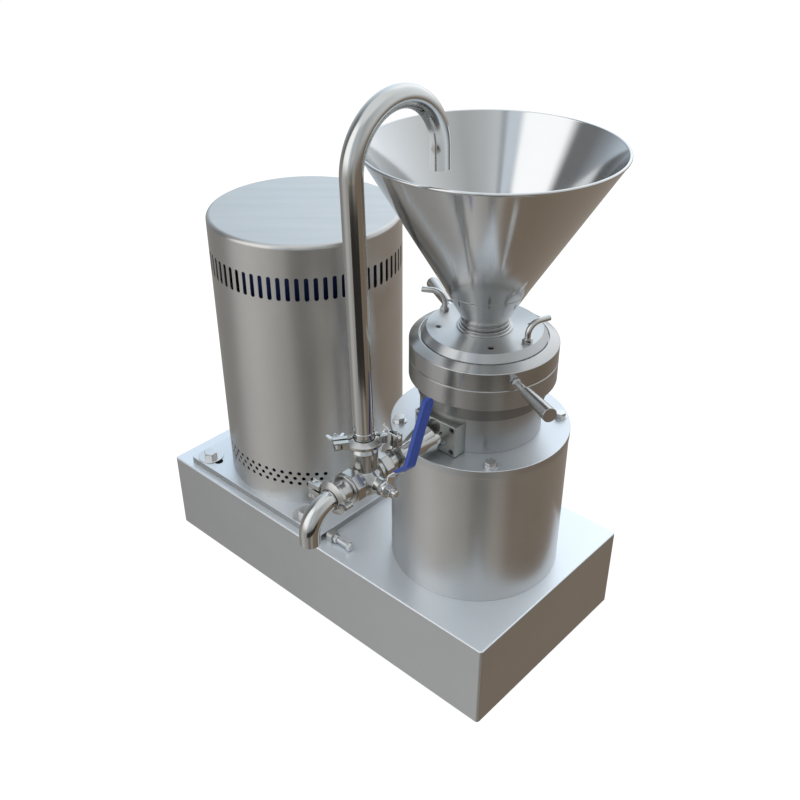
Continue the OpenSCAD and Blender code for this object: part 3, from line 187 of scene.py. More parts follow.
def metalFinish(name, colour, rough, grain, streak, bump, axis=0, stretch=0.0, lidAbove=None,
                dullSheenAbove=None, paintedShadeAbove=None, dullAndSheen=1.0):
    material, s = newMaterial(name)
    coords = s.out(s.add("TexCoord"), "Object")
    x, y, z = s.split(coords)
    fine, along = grainLines["fine"], grainLines[grain]
    if grain == "x":
        lines = s.join(x * along, y * fine, z * fine)
    elif grain == "z":
        lines = s.join(x * fine, y * fine, z * along)
    elif grain == "cast":
        lines = s.join(x * along, y * along, z * along)
    else:
        dx = x - axis * mm
        turn = s.out(s.add("Math", {"operation": "ARCTAN2"}, n0=y, n1=dx))
        radius = s.out(s.add("Math", {"operation": "SQRT"}, n0=dx * dx + y * y))
        lines = s.join(turn * along, radius * fine, z * fine)
    grainNoise = s.noise(lines, 1.0, 3.0, 0.62)
    patch = s.noise(coords, 5.0, 2.0, 0.5)
    smudge = s.noise(coords, 17.0, 3.0, 0.6)
    tone = grainNoise * streak + patch * wearAndShade["patch"] + smudge * wearAndShade["smudge"]
    tone = tone + (wearAndShade["level"] - streak / 2)
    shade = s.out(s.add("MapRange", n0=tone, n1=0.8, n2=1.12))
    skin = s.blend(shade, tinted(colour, wearAndShade["darker"]), tinted(colour, wearAndShade["lighter"]))

    def higher(level):  # 1 above a height given in millimetres, 0 below
        return s.out(s.add("Math", {"operation": "GREATER_THAN"}, n0=z, n1=level * mm))

    # painted shade: above this height the colour darkens, standing in for the shadow under the scale collar
    if paintedShadeAbove:
        skin = s.blend(higher(paintedShadeAbove), skin, tinted(colour, wearAndShade["shadow"]))
    fog = smudge * wearAndShade["fog"] + grainNoise * streak * 0.6 + (rough - wearAndShade["fog"] / 2 - streak * 0.3)
    metal = 1.0
    if dullSheenAbove:  # a top face is made rougher and less metallic, and its colour is blended to pale blue: a painted sheen of the light from above
        onTop = higher(dullSheenAbove) * dullAndSheen
        fog = fog + onTop * dullTopAndSheen["fog"]
        metal = 1.0 - onTop * dullTopAndSheen["metal"]
        skin = s.blend(onTop, skin, s.blend(shade, dullTopAndSheen["low"], dullTopAndSheen["high"]))
    bumpNode = s.add("Bump", Strength=bump, Distance=0.0006, Height=grainNoise)
    bsdf = s.add("BsdfPrincipled", Base_Color=skin, Metallic=metal, Roughness=fog, Normal=s.out(bumpNode))
    if stretch:  # the grain spreads reflections across itself
        bsdf.inputs["Anisotropic"].default_value = stretch
        bsdf.inputs["Anisotropic Rotation"].default_value = 0.25
    surface = s.out(bsdf)
    if lidAbove:  # a flat lid, brushed straight across
        b = lidBrush
        brushed = s.join((x * b["x"] + y * b["y"]) * b["along"], (y * b["x"] - x * b["y"]) * b["across"], z)
        lidLines = s.noise(brushed, 1.0, 3.0, 0.6)
        lidShade = lidLines * 0.8 + patch * 0.2
        lidSkin = s.blend(lidShade, tinted(colour, b["darker"]), tinted(colour, b["lighter"]))
        lidFog = lidLines * wearAndShade["fog"] + smudge * wearAndShade["fog"] + (rough - 0.02)
        lid = s.add("BsdfPrincipled", Base_Color=lidSkin, Metallic=1.0, Roughness=lidFog)
        surface = s.out(s.add("MixShader", Fac=higher(lidAbove), n1=surface, n2=s.out(lid)))
    s.add("OutputMaterial", Surface=surface)
    return material


for finishName, settings in metals.items():
    finishes[finishName] = metalFinish(finishName, **settings)

# Paint, plastic, rubber and cast iron
coatings = {
    "blueVinyl": {"colour": (0.006, 0.032, 0.205), "rough": 0.42, "mottle": 0.2, "scale": 90, "bump": 0.08,
                  "coat": 0.08},
    "motorPaint": {"colour": (0.012, 0.03, 0.13), "rough": 0.42, "mottle": 0.25, "scale": 140, "bump": 0.18,
                   "coat": 0.1},
    "castIron": {"colour": (0.10, 0.10, 0.105), "rough": 0.6, "mottle": 0.4, "scale": 220, "bump": 0.35},
    "beltRubber": {"colour": (0.02, 0.02, 0.021), "rough": 0.8, "mottle": 0.4, "scale": 300, "bump": 0.3},
    "fanPlastic": {"colour": (0.025, 0.025, 0.027), "rough": 0.55, "mottle": 0.3, "scale": 200, "bump": 0.15},
    "sealWhite": {"colour": (0.78, 0.77, 0.73), "rough": 0.5, "mottle": 0.12, "scale": 120, "bump": 0.08},
    "sealCarbon": {"colour": (0.05, 0.05, 0.052), "rough": 0.4, "mottle": 0.3, "scale": 150, "bump": 0.08},
}


def coatingFinish(name, colour, rough, mottle, scale, bump, coat=0.0):
    material, s = newMaterial(name)
    coords = s.out(s.add("TexCoord"), "Object")
    fine = s.noise(coords, scale, 3.0, 0.6)
    broad = s.noise(coords, scale / 12, 2.0, 0.5)
    skin = s.blend(fine * 0.5 + broad * 0.5, tinted(colour, 1 - mottle), tinted(colour, 1 + mottle))
    fog = fine * 0.12 + broad * 0.12 + (rough - 0.12)
    bumpNode = s.add("Bump", Strength=bump, Distance=0.0008, Height=fine)
    bsdf = s.add("BsdfPrincipled", Base_Color=skin, Roughness=fog, Normal=s.out(bumpNode))
    bsdf.inputs["Coat Weight"].default_value = coat
    bsdf.inputs["Coat Roughness"].default_value = 0.15
    s.add("OutputMaterial", Surface=s.out(bsdf))
    return material


for finishName, settings in coatings.items():
    finishes[finishName] = coatingFinish(finishName, **settings)
print("finishes made:", len(finishes))


# Mesh helpers, all on bmesh operators
def at(x, y, z):
    return Matrix.Translation((x, y, z))


def rot(axis, degrees):
    return Matrix.Rotation(math.radians(degrees), 4, axis)


def moved(bm, x, y, z):
    bmesh.ops.translate(bm, vec=(x, y, z), verts=bm.verts)
    return bm


def bevelled(bm, edges, width, segments, clamp=False):
    bmesh.ops.bevel(bm, geom=edges, offset=width, offset_type="OFFSET", segments=segments, profile=0.5,
                    affect="EDGES", material=-1, clamp_overlap=clamp)
    return bm


def softEdges(bm, width, segments=2, angle=35):
    limit = math.radians(angle)
    sharp = [e for e in bm.edges if len(e.link_faces) == 2 and e.calc_face_angle(0) > limit]
    return bevelled(bm, sharp, width, segments, True)


def uprightEdges(bm, height):
    return [e for e in bm.edges if abs(e.verts[0].co.z - e.verts[1].co.z) > height]


def topEdges(bm, level):
    return [e for e in bm.edges if min(v.co.z for v in e.verts) > level]


def turned(points, steps, closed=True):  # a profile of (radius, height) spun about Z
    bm = bmesh.new()
    verts = [bm.verts.new((r, 0, z)) for r, z in points]
    ends = list(zip(verts, verts[1:]))
    if closed:
        ends.append((verts[-1], verts[0]))
    edges = [bm.edges.new(pair) for pair in ends]
    bmesh.ops.spin(bm, geom=verts + edges, cent=(0, 0, 0), axis=(0, 0, 1), angle=math.tau, steps=steps,
                   use_merge=True)
    bmesh.ops.remove_doubles(bm, verts=bm.verts, dist=0.002)
    bmesh.ops.recalc_face_normals(bm, faces=bm.faces)
    return bm


def band(bore, outer, low, high, steps):
    return turned([(bore, low), (outer, low), (outer, high), (bore, high)], steps)


def rod(first, last, low, high, steps):  # a round bar from its first radius to its last
    return turned([(0, low), (first, low), (last, high), (0, high)], steps, False)


def block(low, high, edge=0.0, segments=2):
    bm = bmesh.new()
    bmesh.ops.create_cube(bm, size=1)
    low, high = Vector(low), Vector(high)
    bmesh.ops.scale(bm, vec=high - low, verts=bm.verts)
    moved(bm, *((low + high) / 2))
    return softEdges(bm, edge, segments) if edge else bm


def prism(sides, radius, low, high, edge=0.0, turn=0.0):
    bm = bmesh.new()
    bmesh.ops.create_cone(bm, cap_ends=True, segments=sides, radius1=radius, radius2=radius, depth=high - low)
    bmesh.ops.transform(bm, matrix=at(0, 0, (low + high) / 2) @ rot("Z", turn), verts=bm.verts)
    return softEdges(bm, edge, 2, 40) if edge else bm


def hexagon(flats, low, high, edge=0.0, turn=0.0):
    return prism(6, flats / math.sqrt(3), low, high, edge, turn)


def slotCutter(sides, width, low, high, half):  # a round cutter pulled out into a slot along X
    bm = prism(sides, width / 2, low, high)
    for v in bm.verts:
        v.co.x += math.copysign(half, v.co.x + 1e-4)
    return bm


def pushedOut(outline, vec):  # a flat outline pushed out into a solid
    bm = bmesh.new()
    face = bm.faces.new([bm.verts.new(point) for point in outline])
    made = bmesh.ops.extrude_face_region(bm, geom=[face])["geom"]
    bmesh.ops.translate(bm, vec=vec, verts=[g for g in made if isinstance(g, bmesh.types.BMVert)])
    bmesh.ops.recalc_face_normals(bm, faces=bm.faces)
    return bm


def meshOf(bm, name):
    mesh = bpy.data.meshes.new(name)
    bm.to_mesh(mesh)
    bm.free()
    return mesh


def inScene(name, data):
    obj = bpy.data.objects.new(name, data)
    bpy.context.scene.collection.objects.link(obj)
    return obj


def addTo(bm, part, place=None):
    if place is not None:
        bmesh.ops.transform(part, matrix=place, verts=part.verts)
    scratch = meshOf(part, "scratch")
    bm.from_mesh(scratch)
    bpy.data.meshes.remove(scratch)
    return bm


def gathered(*parts):
    bm = bmesh.new()
    for part in parts:
        shape, place = part if isinstance(part, tuple) else (part, None)
        addTo(bm, shape, place)
    return bm


def carve(bm, *cutters):  # cuts closed shapes out of a closed shape
    objs = [inScene("carved", meshOf(part, "carved")) for part in (bm, *cutters)]
    for cutter in objs[1:]:
        cut = objs[0].modifiers.new("cut", "BOOLEAN")
        cut.operation = "DIFFERENCE"
        cut.solver = "EXACT"
        cut.object = cutter
    evaluated = objs[0].evaluated_get(bpy.context.evaluated_depsgraph_get())
    result = bpy.data.meshes.new_from_object(evaluated)
    made = bmesh.new()
    made.from_mesh(result)
    bpy.data.meshes.remove(result)
    for obj in objs:
        mesh = obj.data
        bpy.data.objects.remove(obj)
        bpy.data.meshes.remove(mesh)
    return made


def piece(name, bm, body, finish, nodes, angle=32, weighted=True):
    bmesh.ops.scale(bm, vec=(mm, mm, mm), verts=bm.verts)
    mesh = meshOf(bm, name)
    mesh.shade_smooth()
    mesh.set_sharp_from_angle(angle=math.radians(angle))
    mesh.materials.append(finishes[finish])
    obj = inScene(name, mesh)
    if weighted:  # flat faces stay flat beside their rounded edges
        even = obj.modifiers.new("even", "WEIGHTED_NORMAL")
        even.keep_sharp = True
    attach(obj, body)
    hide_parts(*nodes)
    return obj


# Base box: bent sheet, open below, with a turned-in lip
base = {"length": 1000, "width": 500, "wall": 5, "top": 8, "lip": 40, "lipThick": 5, "corner": 7, "edge": 3.5,
        "motorHole": 110, "millHole": 90, "cut": (180, 230)}


def makeBase(b):
    hl, hw, wall, lip = b["length"] / 2, b["width"] / 2, b["wall"], b["lip"]
    shell = block((-hl, -hw, 0), (hl, hw, baseTop))
    bevelled(shell, uprightEdges(shell, baseTop / 2), b["corner"], 4)
    bevelled(shell, topEdges(shell, baseTop - 1), b["edge"], 3)
    room = block((wall - hl, wall - hw, b["lipThick"]), (hl - wall, hw - wall, baseTop - b["top"]))
    opening = block((lip - hl, lip - hw, -b["lipThick"]), (hl - lip, hw - lip, b["lipThick"] + 3))
    motorHole = moved(prism(96, b["motorHole"], *b["cut"]), motorX, 0, 0)
    millHole = moved(prism(96, b["millHole"], *b["cut"]), millX, 0, 0)
    return carve(shell, room, opening, motorHole, millHole)


piece("baseBox", makeBase(base), "frame", "satinSteel", ["base_frame"])
print("base made")

# Motor plate with four slots, its bolts and washers
plate = {"low": (-451, -232, baseTop), "high": (17, 232, plateTop), "corner": 5, "edge": 1.5, "hole": 125,
         "slotHalf": 18, "slotWidth": 22, "slotShift": 13, "cut": (190, 240)}
plateBolt = {"flats": 30, "head": 13, "shank": (10, 33), "washer": 31, "bore": 10.3, "thick": 3, "twist": 17}
boltSpots = [(x, y) for x in (-414, -62) for y in (-200, 200)]


def makePlate(p):
    slab = block(p["low"], p["high"])
    bevelled(slab, uprightEdges(slab, 10), p["corner"], 3)
    bevelled(slab, topEdges(slab, plateTop - 1), p["edge"], 2)
    cutters = [moved(prism(96, p["hole"], *p["cut"]), motorX, 0, 0)]
    for x, y in boltSpots:
        slot = slotCutter(32, p["slotWidth"], *p["cut"], p["slotHalf"])
        cutters.append(moved(slot, x + p["slotShift"], y, 0))
    return carve(slab, *cutters)


def hexBolt(flats, height, shank, turn=0.0):  # head on z = 0, shank of a radius and a length below it
    head = hexagon(flats, 0, height, 0.0, turn)
    bevelled(head, topEdges(head, height - 0.1), flats * 0.06, 2)
    bevelled(head, uprightEdges(head, height / 2), 0.5, 2)
    radius, length = shank
    return gathered(head, prism(24, radius, -length, 0.5))


def boltAndWasher(b, count):  # both with the washer's lower face on z = 0
    bolt = hexBolt(b["flats"], b["head"], b["shank"], b["twist"] * count)
    ring = softEdges(band(b["bore"], b["washer"], 0, b["thick"], 48), 0.6)
    return moved(bolt, 0, 0, b["thick"]), ring


piece("motorPlate", makePlate(plate), "frame", "plateSteel", ["motor_plate"])
bolts = bmesh.new()
washers = bmesh.new()
for count, (x, y) in enumerate(boltSpots):
    bolt, ring = boltAndWasher(plateBolt, count)
    addTo(bolts, bolt, at(x, y, plateTop))
    addTo(washers, ring, at(x, y, plateTop))
piece("plateBolts", bolts, "frame", "boltSteel", ["plate_bolts"])
piece("plateWashers", washers, "frame", "boltSteel", ["plate_washers"])

# Belt tension screw, lying along X in a lug on the base
jack = {"y": -205, "z": 216, "tip": 17.3, "lug": (25.3, 41.3), "lugHalf": 13, "lugTop": 228, "lugRound": 7,
        "flats": 18, "head": 85.3, "headHigh": 7.8, "shank": (6, 66), "nutEnd": 50.9, "threadStart": 51.5,
        "crests": 18, "pitch": 1.8, "thread": (5.7, 6.35), "point": 4.4}


def makeLug(j):
    near, far = j["lug"]
    lug = block((near, j["y"] - j["lugHalf"], baseTop), (far, j["y"] + j["lugHalf"], j["lugTop"]))
    topSides = [e for e in topEdges(lug, j["lugTop"] - 8) if abs(e.verts[0].co.x - e.verts[1].co.x) > 10]
    return softEdges(bevelled(lug, topSides, j["lugRound"], 5), 0.8)


def makeJackScrew(j):
    bolt = hexBolt(j["flats"], j["headHigh"], j["shank"])
    bm = gathered((bolt, at(0, 0, j["head"])), prism(24, j["point"], j["tip"], j["tip"] + 3, 0.5))
    pitch = j["pitch"]
    root, crown = j["thread"]
    for crest in range(j["crests"]):  # thread between the lug and the head
        ridge = turned([(root, 0), (crown, pitch / 2), (root, pitch)], 24)
        addTo(bm, ridge, at(0, 0, j["threadStart"] + pitch * crest))
    return bm


alongX = at(0, jack["y"], jack["z"]) @ rot("Y", 90) @ rot("Z", 30)
piece("tensionLug", makeLug(jack), "frame", "blockSteel", ["tension_lug"])
jackScrew = gathered((makeJackScrew(jack), alongX))
piece("tensionBolt", jackScrew, "frame", "boltSteel", ["tension_bolt"])
nut = gathered((hexagon(jack["flats"], jack["lug"][1], jack["nutEnd"], 0.7), alongX))
piece("tensionNut", nut, "frame", "boltSteel", ["tension_nut"])
print("plate and tension screw made")

# Motor cover: rolled sheet with a domed edge, upright slots and rows of inlet holes
cover = {"radius": 216.5, "high": 878, "wall": 2, "edge": 10, "slots": 68, "slotPhase": -0.85, "slotLow": 754,
         "slotHigh": 807, "slotWidth": 10, "holeRows": (308, 294, 280), "holeRadius": 4.75, "holeStep": 5.5,
         "holeStart": -38, "holes": 52, "cut": 12}


def makeCover(c):
    r, high, edge, wall, cut = c["radius"], c["high"], c["edge"], c["wall"], c["cut"]

    def domed(radius):  # a quarter round from the lid to the wall
        bends = [math.radians(90 - k * 90 / 8) for k in range(1, 9)]
        return [(r - edge + radius * math.cos(a), high - edge + radius * math.sin(a)) for a in bends]

    def outward(turn, height):
        return rot("Z", turn) @ at(r, 0, height) @ rot("Y", 90)

    outer = [(0, high), (r - edge, high)] + domed(edge)
    inner = [(0, high - wall), (r - edge, high - wall)] + domed(edge - wall)
    shell = turned(outer + [(r, plateTop), (r - wall, plateTop)] + inner[::-1], 272, closed=False)
    cutters = bmesh.new()
    middle = (c["slotLow"] + c["slotHigh"]) / 2
    half = (c["slotHigh"] - c["slotLow"] - c["slotWidth"]) / 2
    for k in range(c["slots"]):
        turn = c["slotPhase"] + k * 360 / c["slots"]
        addTo(cutters, slotCutter(16, c["slotWidth"], -cut, cut, half), outward(turn, middle))
    for row, height in enumerate(c["holeRows"]):
        for k in range(c["holes"]):
            turn = c["holeStart"] - (k + row / 2) * c["holeStep"]
            addTo(cutters, prism(14, c["holeRadius"], -cut, cut), outward(turn, height))
    return moved(carve(shell, cutters), motorX, 0, 0)


def roundNormals(obj, c):  # true normals of wall, rounded edge and lid, so that the cut facets don't show
    mesh = obj.data
    normals = [Vector(n.vector) for n in mesh.corner_normals]

    def trueNormal(co):
        out = Vector((co.x / mm - motorX, co.y / mm, 0))
        lift = co.z / mm - (c["high"] - c["edge"])
        if lift <= 0:
            return out.normalized()
        reach = max(0.0, out.length - (c["radius"] - c["edge"]))
        return (out.normalized() * reach + Vector((0, 0, lift))).normalized()

    for polygon in mesh.polygons:
        if polygon.normal.dot(trueNormal(polygon.center)) < 0.97:
            continue
        for loop in polygon.loop_indices:
            normals[loop] = trueNormal(mesh.vertices[mesh.loops[loop].vertex_index].co)
    mesh.normals_split_custom_set(normals)


coverPiece = piece("motorCover", makeCover(cover), "frame", "coverSteel", ["motor_cover"],
                   weighted=False)
roundNormals(coverPiece, cover)
print("motor cover made")

# Mill stand, flange and flange bolts
onMill = at(millX, 0, 0)
quarters = (45, 135, 225, 315)
stand = {"radius": 186, "wall": 6, "bore": 126, "foot": 10}
flange = {"radius": 187, "bore": 60.2, "edge": 1.4, "boltCircle": 168}
flangeBolt = {"flats": 21, "head": 9.1, "shank": (7, 28), "washer": 14.7, "bore": 7, "thick": 2.5,
              "twist": 25}


def makeStand(p):
    r, bore, foot = p["radius"], p["bore"], baseTop + p["foot"]
    outside = [(bore, baseTop), (r, baseTop), (r, standTop)]
    inside = [(r - p["wall"], standTop), (r - p["wall"], foot), (bore, foot)]
    return softEdges(turned(outside + inside, 160), 0.8)


def makeFlange(f):
    return softEdges(band(f["bore"], f["radius"], standTop, flangeTop, 160), f["edge"], 3)


standShape = gathered((makeStand(stand), onMill))
piece("millStand", standShape, "frame", "standSteel", ["mill_stand"])
flangeShape = gathered((makeFlange(flange), onMill))
piece("standFlange", flangeShape, "frame", "flangeSteel", ["stand_flange"])
flangeBolts = bmesh.new()
for count, turn in enumerate(quarters):
    spot = onMill @ rot("Z", turn) @ at(flange["boltCircle"], 0, flangeTop)
    bolt, ring = boltAndWasher(flangeBolt, count)
    addTo(flangeBolts, ring, spot)
    addTo(flangeBolts, bolt, spot)
piece("flangeBolts", flangeBolts, "frame", "boltSteel", ["flange_bolts"])

# Mill housing, scale collar and adjusting ring, each turned from a profile of (radius, height)
housing = {"edge": 0.8, "line": [(34, flangeTop), (126, flangeTop), (126, 624.5), (131, 624.5), (131, 702.5),
                                 (118.3, 702.5), (118.3, 637.5), (108, 637.5), (108, 559.5), (34, 559.5)]}
collar = {"edge": 0.4, "line": [(131.1, 658.5), (147.3, 658.5), (149.5, 660.7), (149.5, 700.9),
                                (148.1, 702.5), (131.1, 702.5)]}
adjuster = {"edge": 0.6, "line": [(128, 702.8), (148.1, 702.8), (149.5, 704.4), (149.5, 739), (148, 740.5),
                                  (131, 748.5), (128, 748.5)]}


def onMillAxis(shape):
    return gathered((softEdges(turned(shape["line"], 160), shape["edge"]), onMill))


piece("millHousing", onMillAxis(housing), "frame", "neckSteel", ["mill_housing"])
piece("scaleCollar", onMillAxis(collar), "frame", "collarSteel", ["scale_collar"])
piece("adjustingRing", onMillAxis(adjuster), "adjuster", "turnedSteel", ["adjusting_ring"])

# Handles: a round stud with a hexagon root and a tapered grip
handle = {"turns": (-28.5, 151.5), "height": 719.5, "root": 149.5, "tilt": 4.4, "bare": 42, "length": 138.9,
          "stud": 7.5, "sunk": 9, "hex": (10, 2, 8), "grip": (10.5, 14)}
studs = bmesh.new()
grips = bmesh.new()
for turn in handle["turns"]:
    spot = onMill @ rot("Z", turn) @ at(handle["root"], 0, handle["height"]) @ rot("Y", 90 - handle["tilt"])
    addTo(studs, rod(handle["stud"], handle["stud"], -handle["sunk"], handle["bare"], 32), spot)
    addTo(studs, prism(6, *handle["hex"], 0.8), spot)
    addTo(grips, softEdges(rod(*handle["grip"], handle["bare"], handle["length"], 48), 1.2, 3), spot)
piece("handleStuds", studs, "adjuster", "boltSteel", ["handle_studs"])
piece("handleGrips", grips, "adjuster", "gripSteel", ["handle_grips"])

# Head cover with its screws
head = {"line": [(43, 744.5), (125.8, 744.5), (125.8, 749.4), (115.2, headTop), (43, headTop)], "edge": 0.6,
        "screwCircle": 91.5, "screwSeat": headTop - 8, "sink": 6.6, "screw": (6, 7.4)}
screwSpots = [rot("Z", turn) @ at(head["screwCircle"], 0, head["screwSeat"]) for turn in quarters]


def sunk(radius, spots):  # round sinks for screw heads
    return gathered(*[(prism(32, radius, 0, 20), spot) for spot in spots])


def capScrew(radius, height):  # round head with a socket, standing on z = 0
    socket = [(0, height * 0.4), (radius * 0.5, height * 0.4), (radius * 0.55, height)]
    line = socket + [(radius, height), (radius, 0), (0, 0)]
    return softEdges(turned(line, 32, False), 0.4)


disc = carve(softEdges(turned(head["line"], 160), head["edge"]), sunk(head["sink"], screwSpots))
piece("headCover", gathered((disc, onMill)), "stator_head", "discSteel", ["head_cover"])
coverScrews = gathered(*[(capScrew(*head["screw"]), onMill @ spot) for spot in screwSpots])
piece("coverScrews", coverScrews, "stator_head", "darkScrew", ["cover_screws"])
print("mill head made")


# Tubes: a circle is pushed along runs and turned round bends about Y, then walled
def tube(radius, wall, moves, sides, rise):
    bm = bmesh.new()
    bmesh.ops.create_circle(bm, cap_ends=False, segments=sides, radius=radius)
    moved(bm, 0, 0, rise)
    edges = list(bm.edges)
    for kind, *how in moves:
        if kind == "run":
            made = bmesh.ops.extrude_edge_only(bm, edges=edges)["geom"]
            verts = [g for g in made if isinstance(g, bmesh.types.BMVert)]
            bmesh.ops.translate(bm, vec=how[0], verts=verts)
            edges = [g for g in made if isinstance(g, bmesh.types.BMEdge)]
            edges = [e for e in edges if all(v in verts for v in e.verts)]
        else:
            centre, degrees, steps = how
            verts = list(dict.fromkeys(v for e in edges for v in e.verts))
            made = bmesh.ops.spin(bm, geom=verts + edges, cent=centre, axis=(0, 1, 0),
                                  angle=math.radians(degrees), steps=steps, use_merge=False)["geom_last"]
            edges = [g for g in made if isinstance(g, bmesh.types.BMEdge)]
    bmesh.ops.recalc_face_normals(bm, faces=bm.faces)
    bmesh.ops.solidify(bm, geom=list(bm.faces), thickness=wall)
    bmesh.ops.recalc_face_normals(bm, faces=bm.faces)
    return bm


# Water nozzles
nozzle = {"circle": 102.5, "radius": 6, "wall": 1.6, "hex": 10.5, "hexHigh": 8, "collar": 8, "collarHigh": 2,
          "rise": 15, "bend": 26, "tail": 22, "sunk": 2, "turns": ((0, 71), (180, 29))}


def makeNozzle(n):
    r, hexHigh, rise = n["radius"], n["hexHigh"], n["rise"]
    ring = band(r, n["collar"], hexHigh, hexHigh + n["collarHigh"], 32)
    moves = [("run", (0, 0, rise + n["sunk"])), ("turn", (n["bend"], 0, rise), 90, 10),
             ("run", (n["tail"], 0, 0))]
    pipe = tube(r, n["wall"], moves, 24, -n["sunk"])
    return gathered(prism(6, n["hex"], 0, hexHigh, 0.7), softEdges(ring, 0.4), pipe)


nozzles = bmesh.new()
for side, tail in nozzle["turns"]:
    spot = onMill @ rot("Z", side) @ at(nozzle["circle"], 0, headTop) @ rot("Z", tail)
    addTo(nozzles, makeNozzle(nozzle), spot)
piece("waterNozzles", nozzles, "stator_head", "pipeSteel", ["water_nozzles"])

# Hopper: two spun cones with a seam and a rolled rim, on a turned neck ring
hopper = {"foot": (46.5, 785), "seam": (80, 847), "lip": (239, 1118.5), "wall": 2, "bead": 3}
throat = {"line": [(43, headTop), (55.5, headTop), (55.5, 767.2), (54.6, 768.2), (51.6, 768.7), (51.6, 772.6),
                   (50.8, 773.4), (48.8, 773.8), (47, 774.4), (47, 775.9), (48.8, 776.4), (49.4, 777),
                   (49.4, 780.9), (48.8, 781.5), (46.9, 782.1), (46.9, 783.7), (47.9, 784.3), (47.9, 785),
                   (43, 785)]}


def makeHopper(h):
    (fr, fz), (sr, sz), (lr, lz) = h["foot"], h["seam"], h["lip"]
    curl = [math.radians(-70 + k * 250 / 12) for k in range(13)]
    bead = [(lr + h["bead"] * math.cos(a), lz + h["bead"] * math.sin(a)) for a in curl]
    fold = [(sr - 0.5, sz - 1.2), (sr + 0.4, sz - 0.4), (sr + 0.4, sz + 0.4), (sr + 1.0, sz + 1.8)]
    inside = [(sr - h["wall"] - 0.4, sz), (fr - h["wall"], fz)]
    return turned([(fr, fz)] + fold + bead + inside, 192)


cone = gathered((makeHopper(hopper), onMill))
piece("hopperCone", cone, "stator_head", "hopperSteel", ["hopper"], 24)
neckRing = gathered((turned(throat["line"], 128), onMill))
piece("hopperThroat", neckRing, "stator_head", "turnedSteel", ["hopper_throat"], 40)
print("hopper made")

# Outlet block, its screws and the stub; every tube of the line ends in the same ferrule, its face at height 0
outlet = {"half": 52, "face": -146.5, "back": -111, "low": 547, "high": 616, "edge": 1.6, "screwX": 42,
          "screwZ": (556, 607), "sinkDeep": 9, "sink": 6.5, "screw": (6, 8)}
outletSeat = outlet["face"] + outlet["sinkDeep"]
blockSpots = [at(millX + x, outletSeat, z) @ rot("X", 90)
              for x in (-outlet["screwX"], outlet["screwX"]) for z in outlet["screwZ"]]


def makeOutlet(o):
    low = (millX - o["half"], o["face"], o["low"])
    high = (millX + o["half"], o["back"], o["high"])
    return carve(block(low, high, o["edge"], 3), sunk(o["sink"], blockSpots))


piece("outletBlock", makeOutlet(outlet), "frame", "blockSteel", ["outlet_block"])
blockScrews = gathered(*[(capScrew(*outlet["screw"]), spot) for spot in blockSpots])
piece("outletScrews", blockScrews, "frame", "darkScrew", ["outlet_screws"])

atValve = at(*valveAt)
valve = {"ball": 36, "end": 81, "joint": 82, "next": 83, "bonnet": 17, "stemBore": 7.1, "cap": (29, 10, 53),
         "wrench": (33.5, 29, 48), "gland": (14.7, 46, 53), "glandBore": 8.6}
ferrule = [(24.6, 3.2), (25.25, 2.6), (25.25, 0.4), (24.9, 0)]
pipeRadius = 19
pipeWall = 1.6
pipeBore = pipeRadius - pipeWall
stub = {"line": [(31, 114.5), (31, 87.5), (30.4, 85), (19.5, 40.5), (pipeRadius, 38), (pipeRadius, 6)]}
stubEnd = stub["line"][0][1]
stubShape = turned(stub["line"] + ferrule + [(pipeBore, 0), (pipeBore, stubEnd)], 64)
stubShape = gathered((stubShape, atValve @ at(0, valve["next"], 0) @ rot("X", -90)))
piece("outletStub", stubShape, "frame", "pipeSteel", ["outlet_stub"], 25)

# Three-way valve: round body, wrench caps on the line, plain neck on top, bonnet towards +X
toStem = atValve @ rot("Y", 90)


def makeValve(v):
    bends = [math.radians(a) for a in range(0, 150, 6)]
    body = [(v["ball"] * math.sin(a), -v["ball"] * math.cos(a)) for a in bends]
    r, bore = v["bonnet"], v["stemBore"]
    bonnet = [(r + 0.6, 33), (r, 35), (r, 45), (r - 1, 46), (bore, 46), (bore, 26)]
    bm = gathered((turned(body + bonnet, 64, False), toStem))
    end = [(radius, v["end"] - z) for radius, z in ferrule] + [(0, v["end"])]
    capRadius, capLow, capHigh = v["cap"]
    for turn in (90, -90):
        place = atValve @ rot("X", turn)
        addTo(bm, softEdges(rod(capRadius, capRadius, capLow, capHigh, 64), 2, 3), place)
        addTo(bm, prism(8, *v["wrench"], 1.2, 22.5), place)
        addTo(bm, turned([(22, 52), (20.6, 56), (20, 60), (20, 75)] + end, 64, False), place)
    top = [(25.5, 5), (25, 34), (25, 62), (24.2, 64.5), (20.5, 71), (20, 73), (20, 75)]
    addTo(bm, turned(top + end, 64, False), atValve)
    return bm


piece("valveBody", makeValve(valve), "frame", "castSteel", ["valve_body"])
gland = carve(prism(6, *valve["gland"]), prism(32, valve["glandBore"], 40, 60))
gland = gathered((softEdges(gland, 0.6), toStem))
piece("glandNut", gland, "frame", "boltSteel", ["gland_nut"])

# Lever: bent strap with a round hub, blue sleeve, stem nut and stem end
lever = {"angle": 67, "start": -10, "length": 184, "width": 20, "thick": 4, "out": 54, "offset": 32,
         "bendStart": 28, "bendEnd": 60, "sleeveStart": 40, "sleeveEnd": 190, "sleeve": 2.5, "tipCut": 7,
         "ease": 4, "hub": (16, 53.6, 58.4), "nutFlats": 21, "nutEnd": 69.4}
alongLever = atValve @ rot("X", lever["angle"])


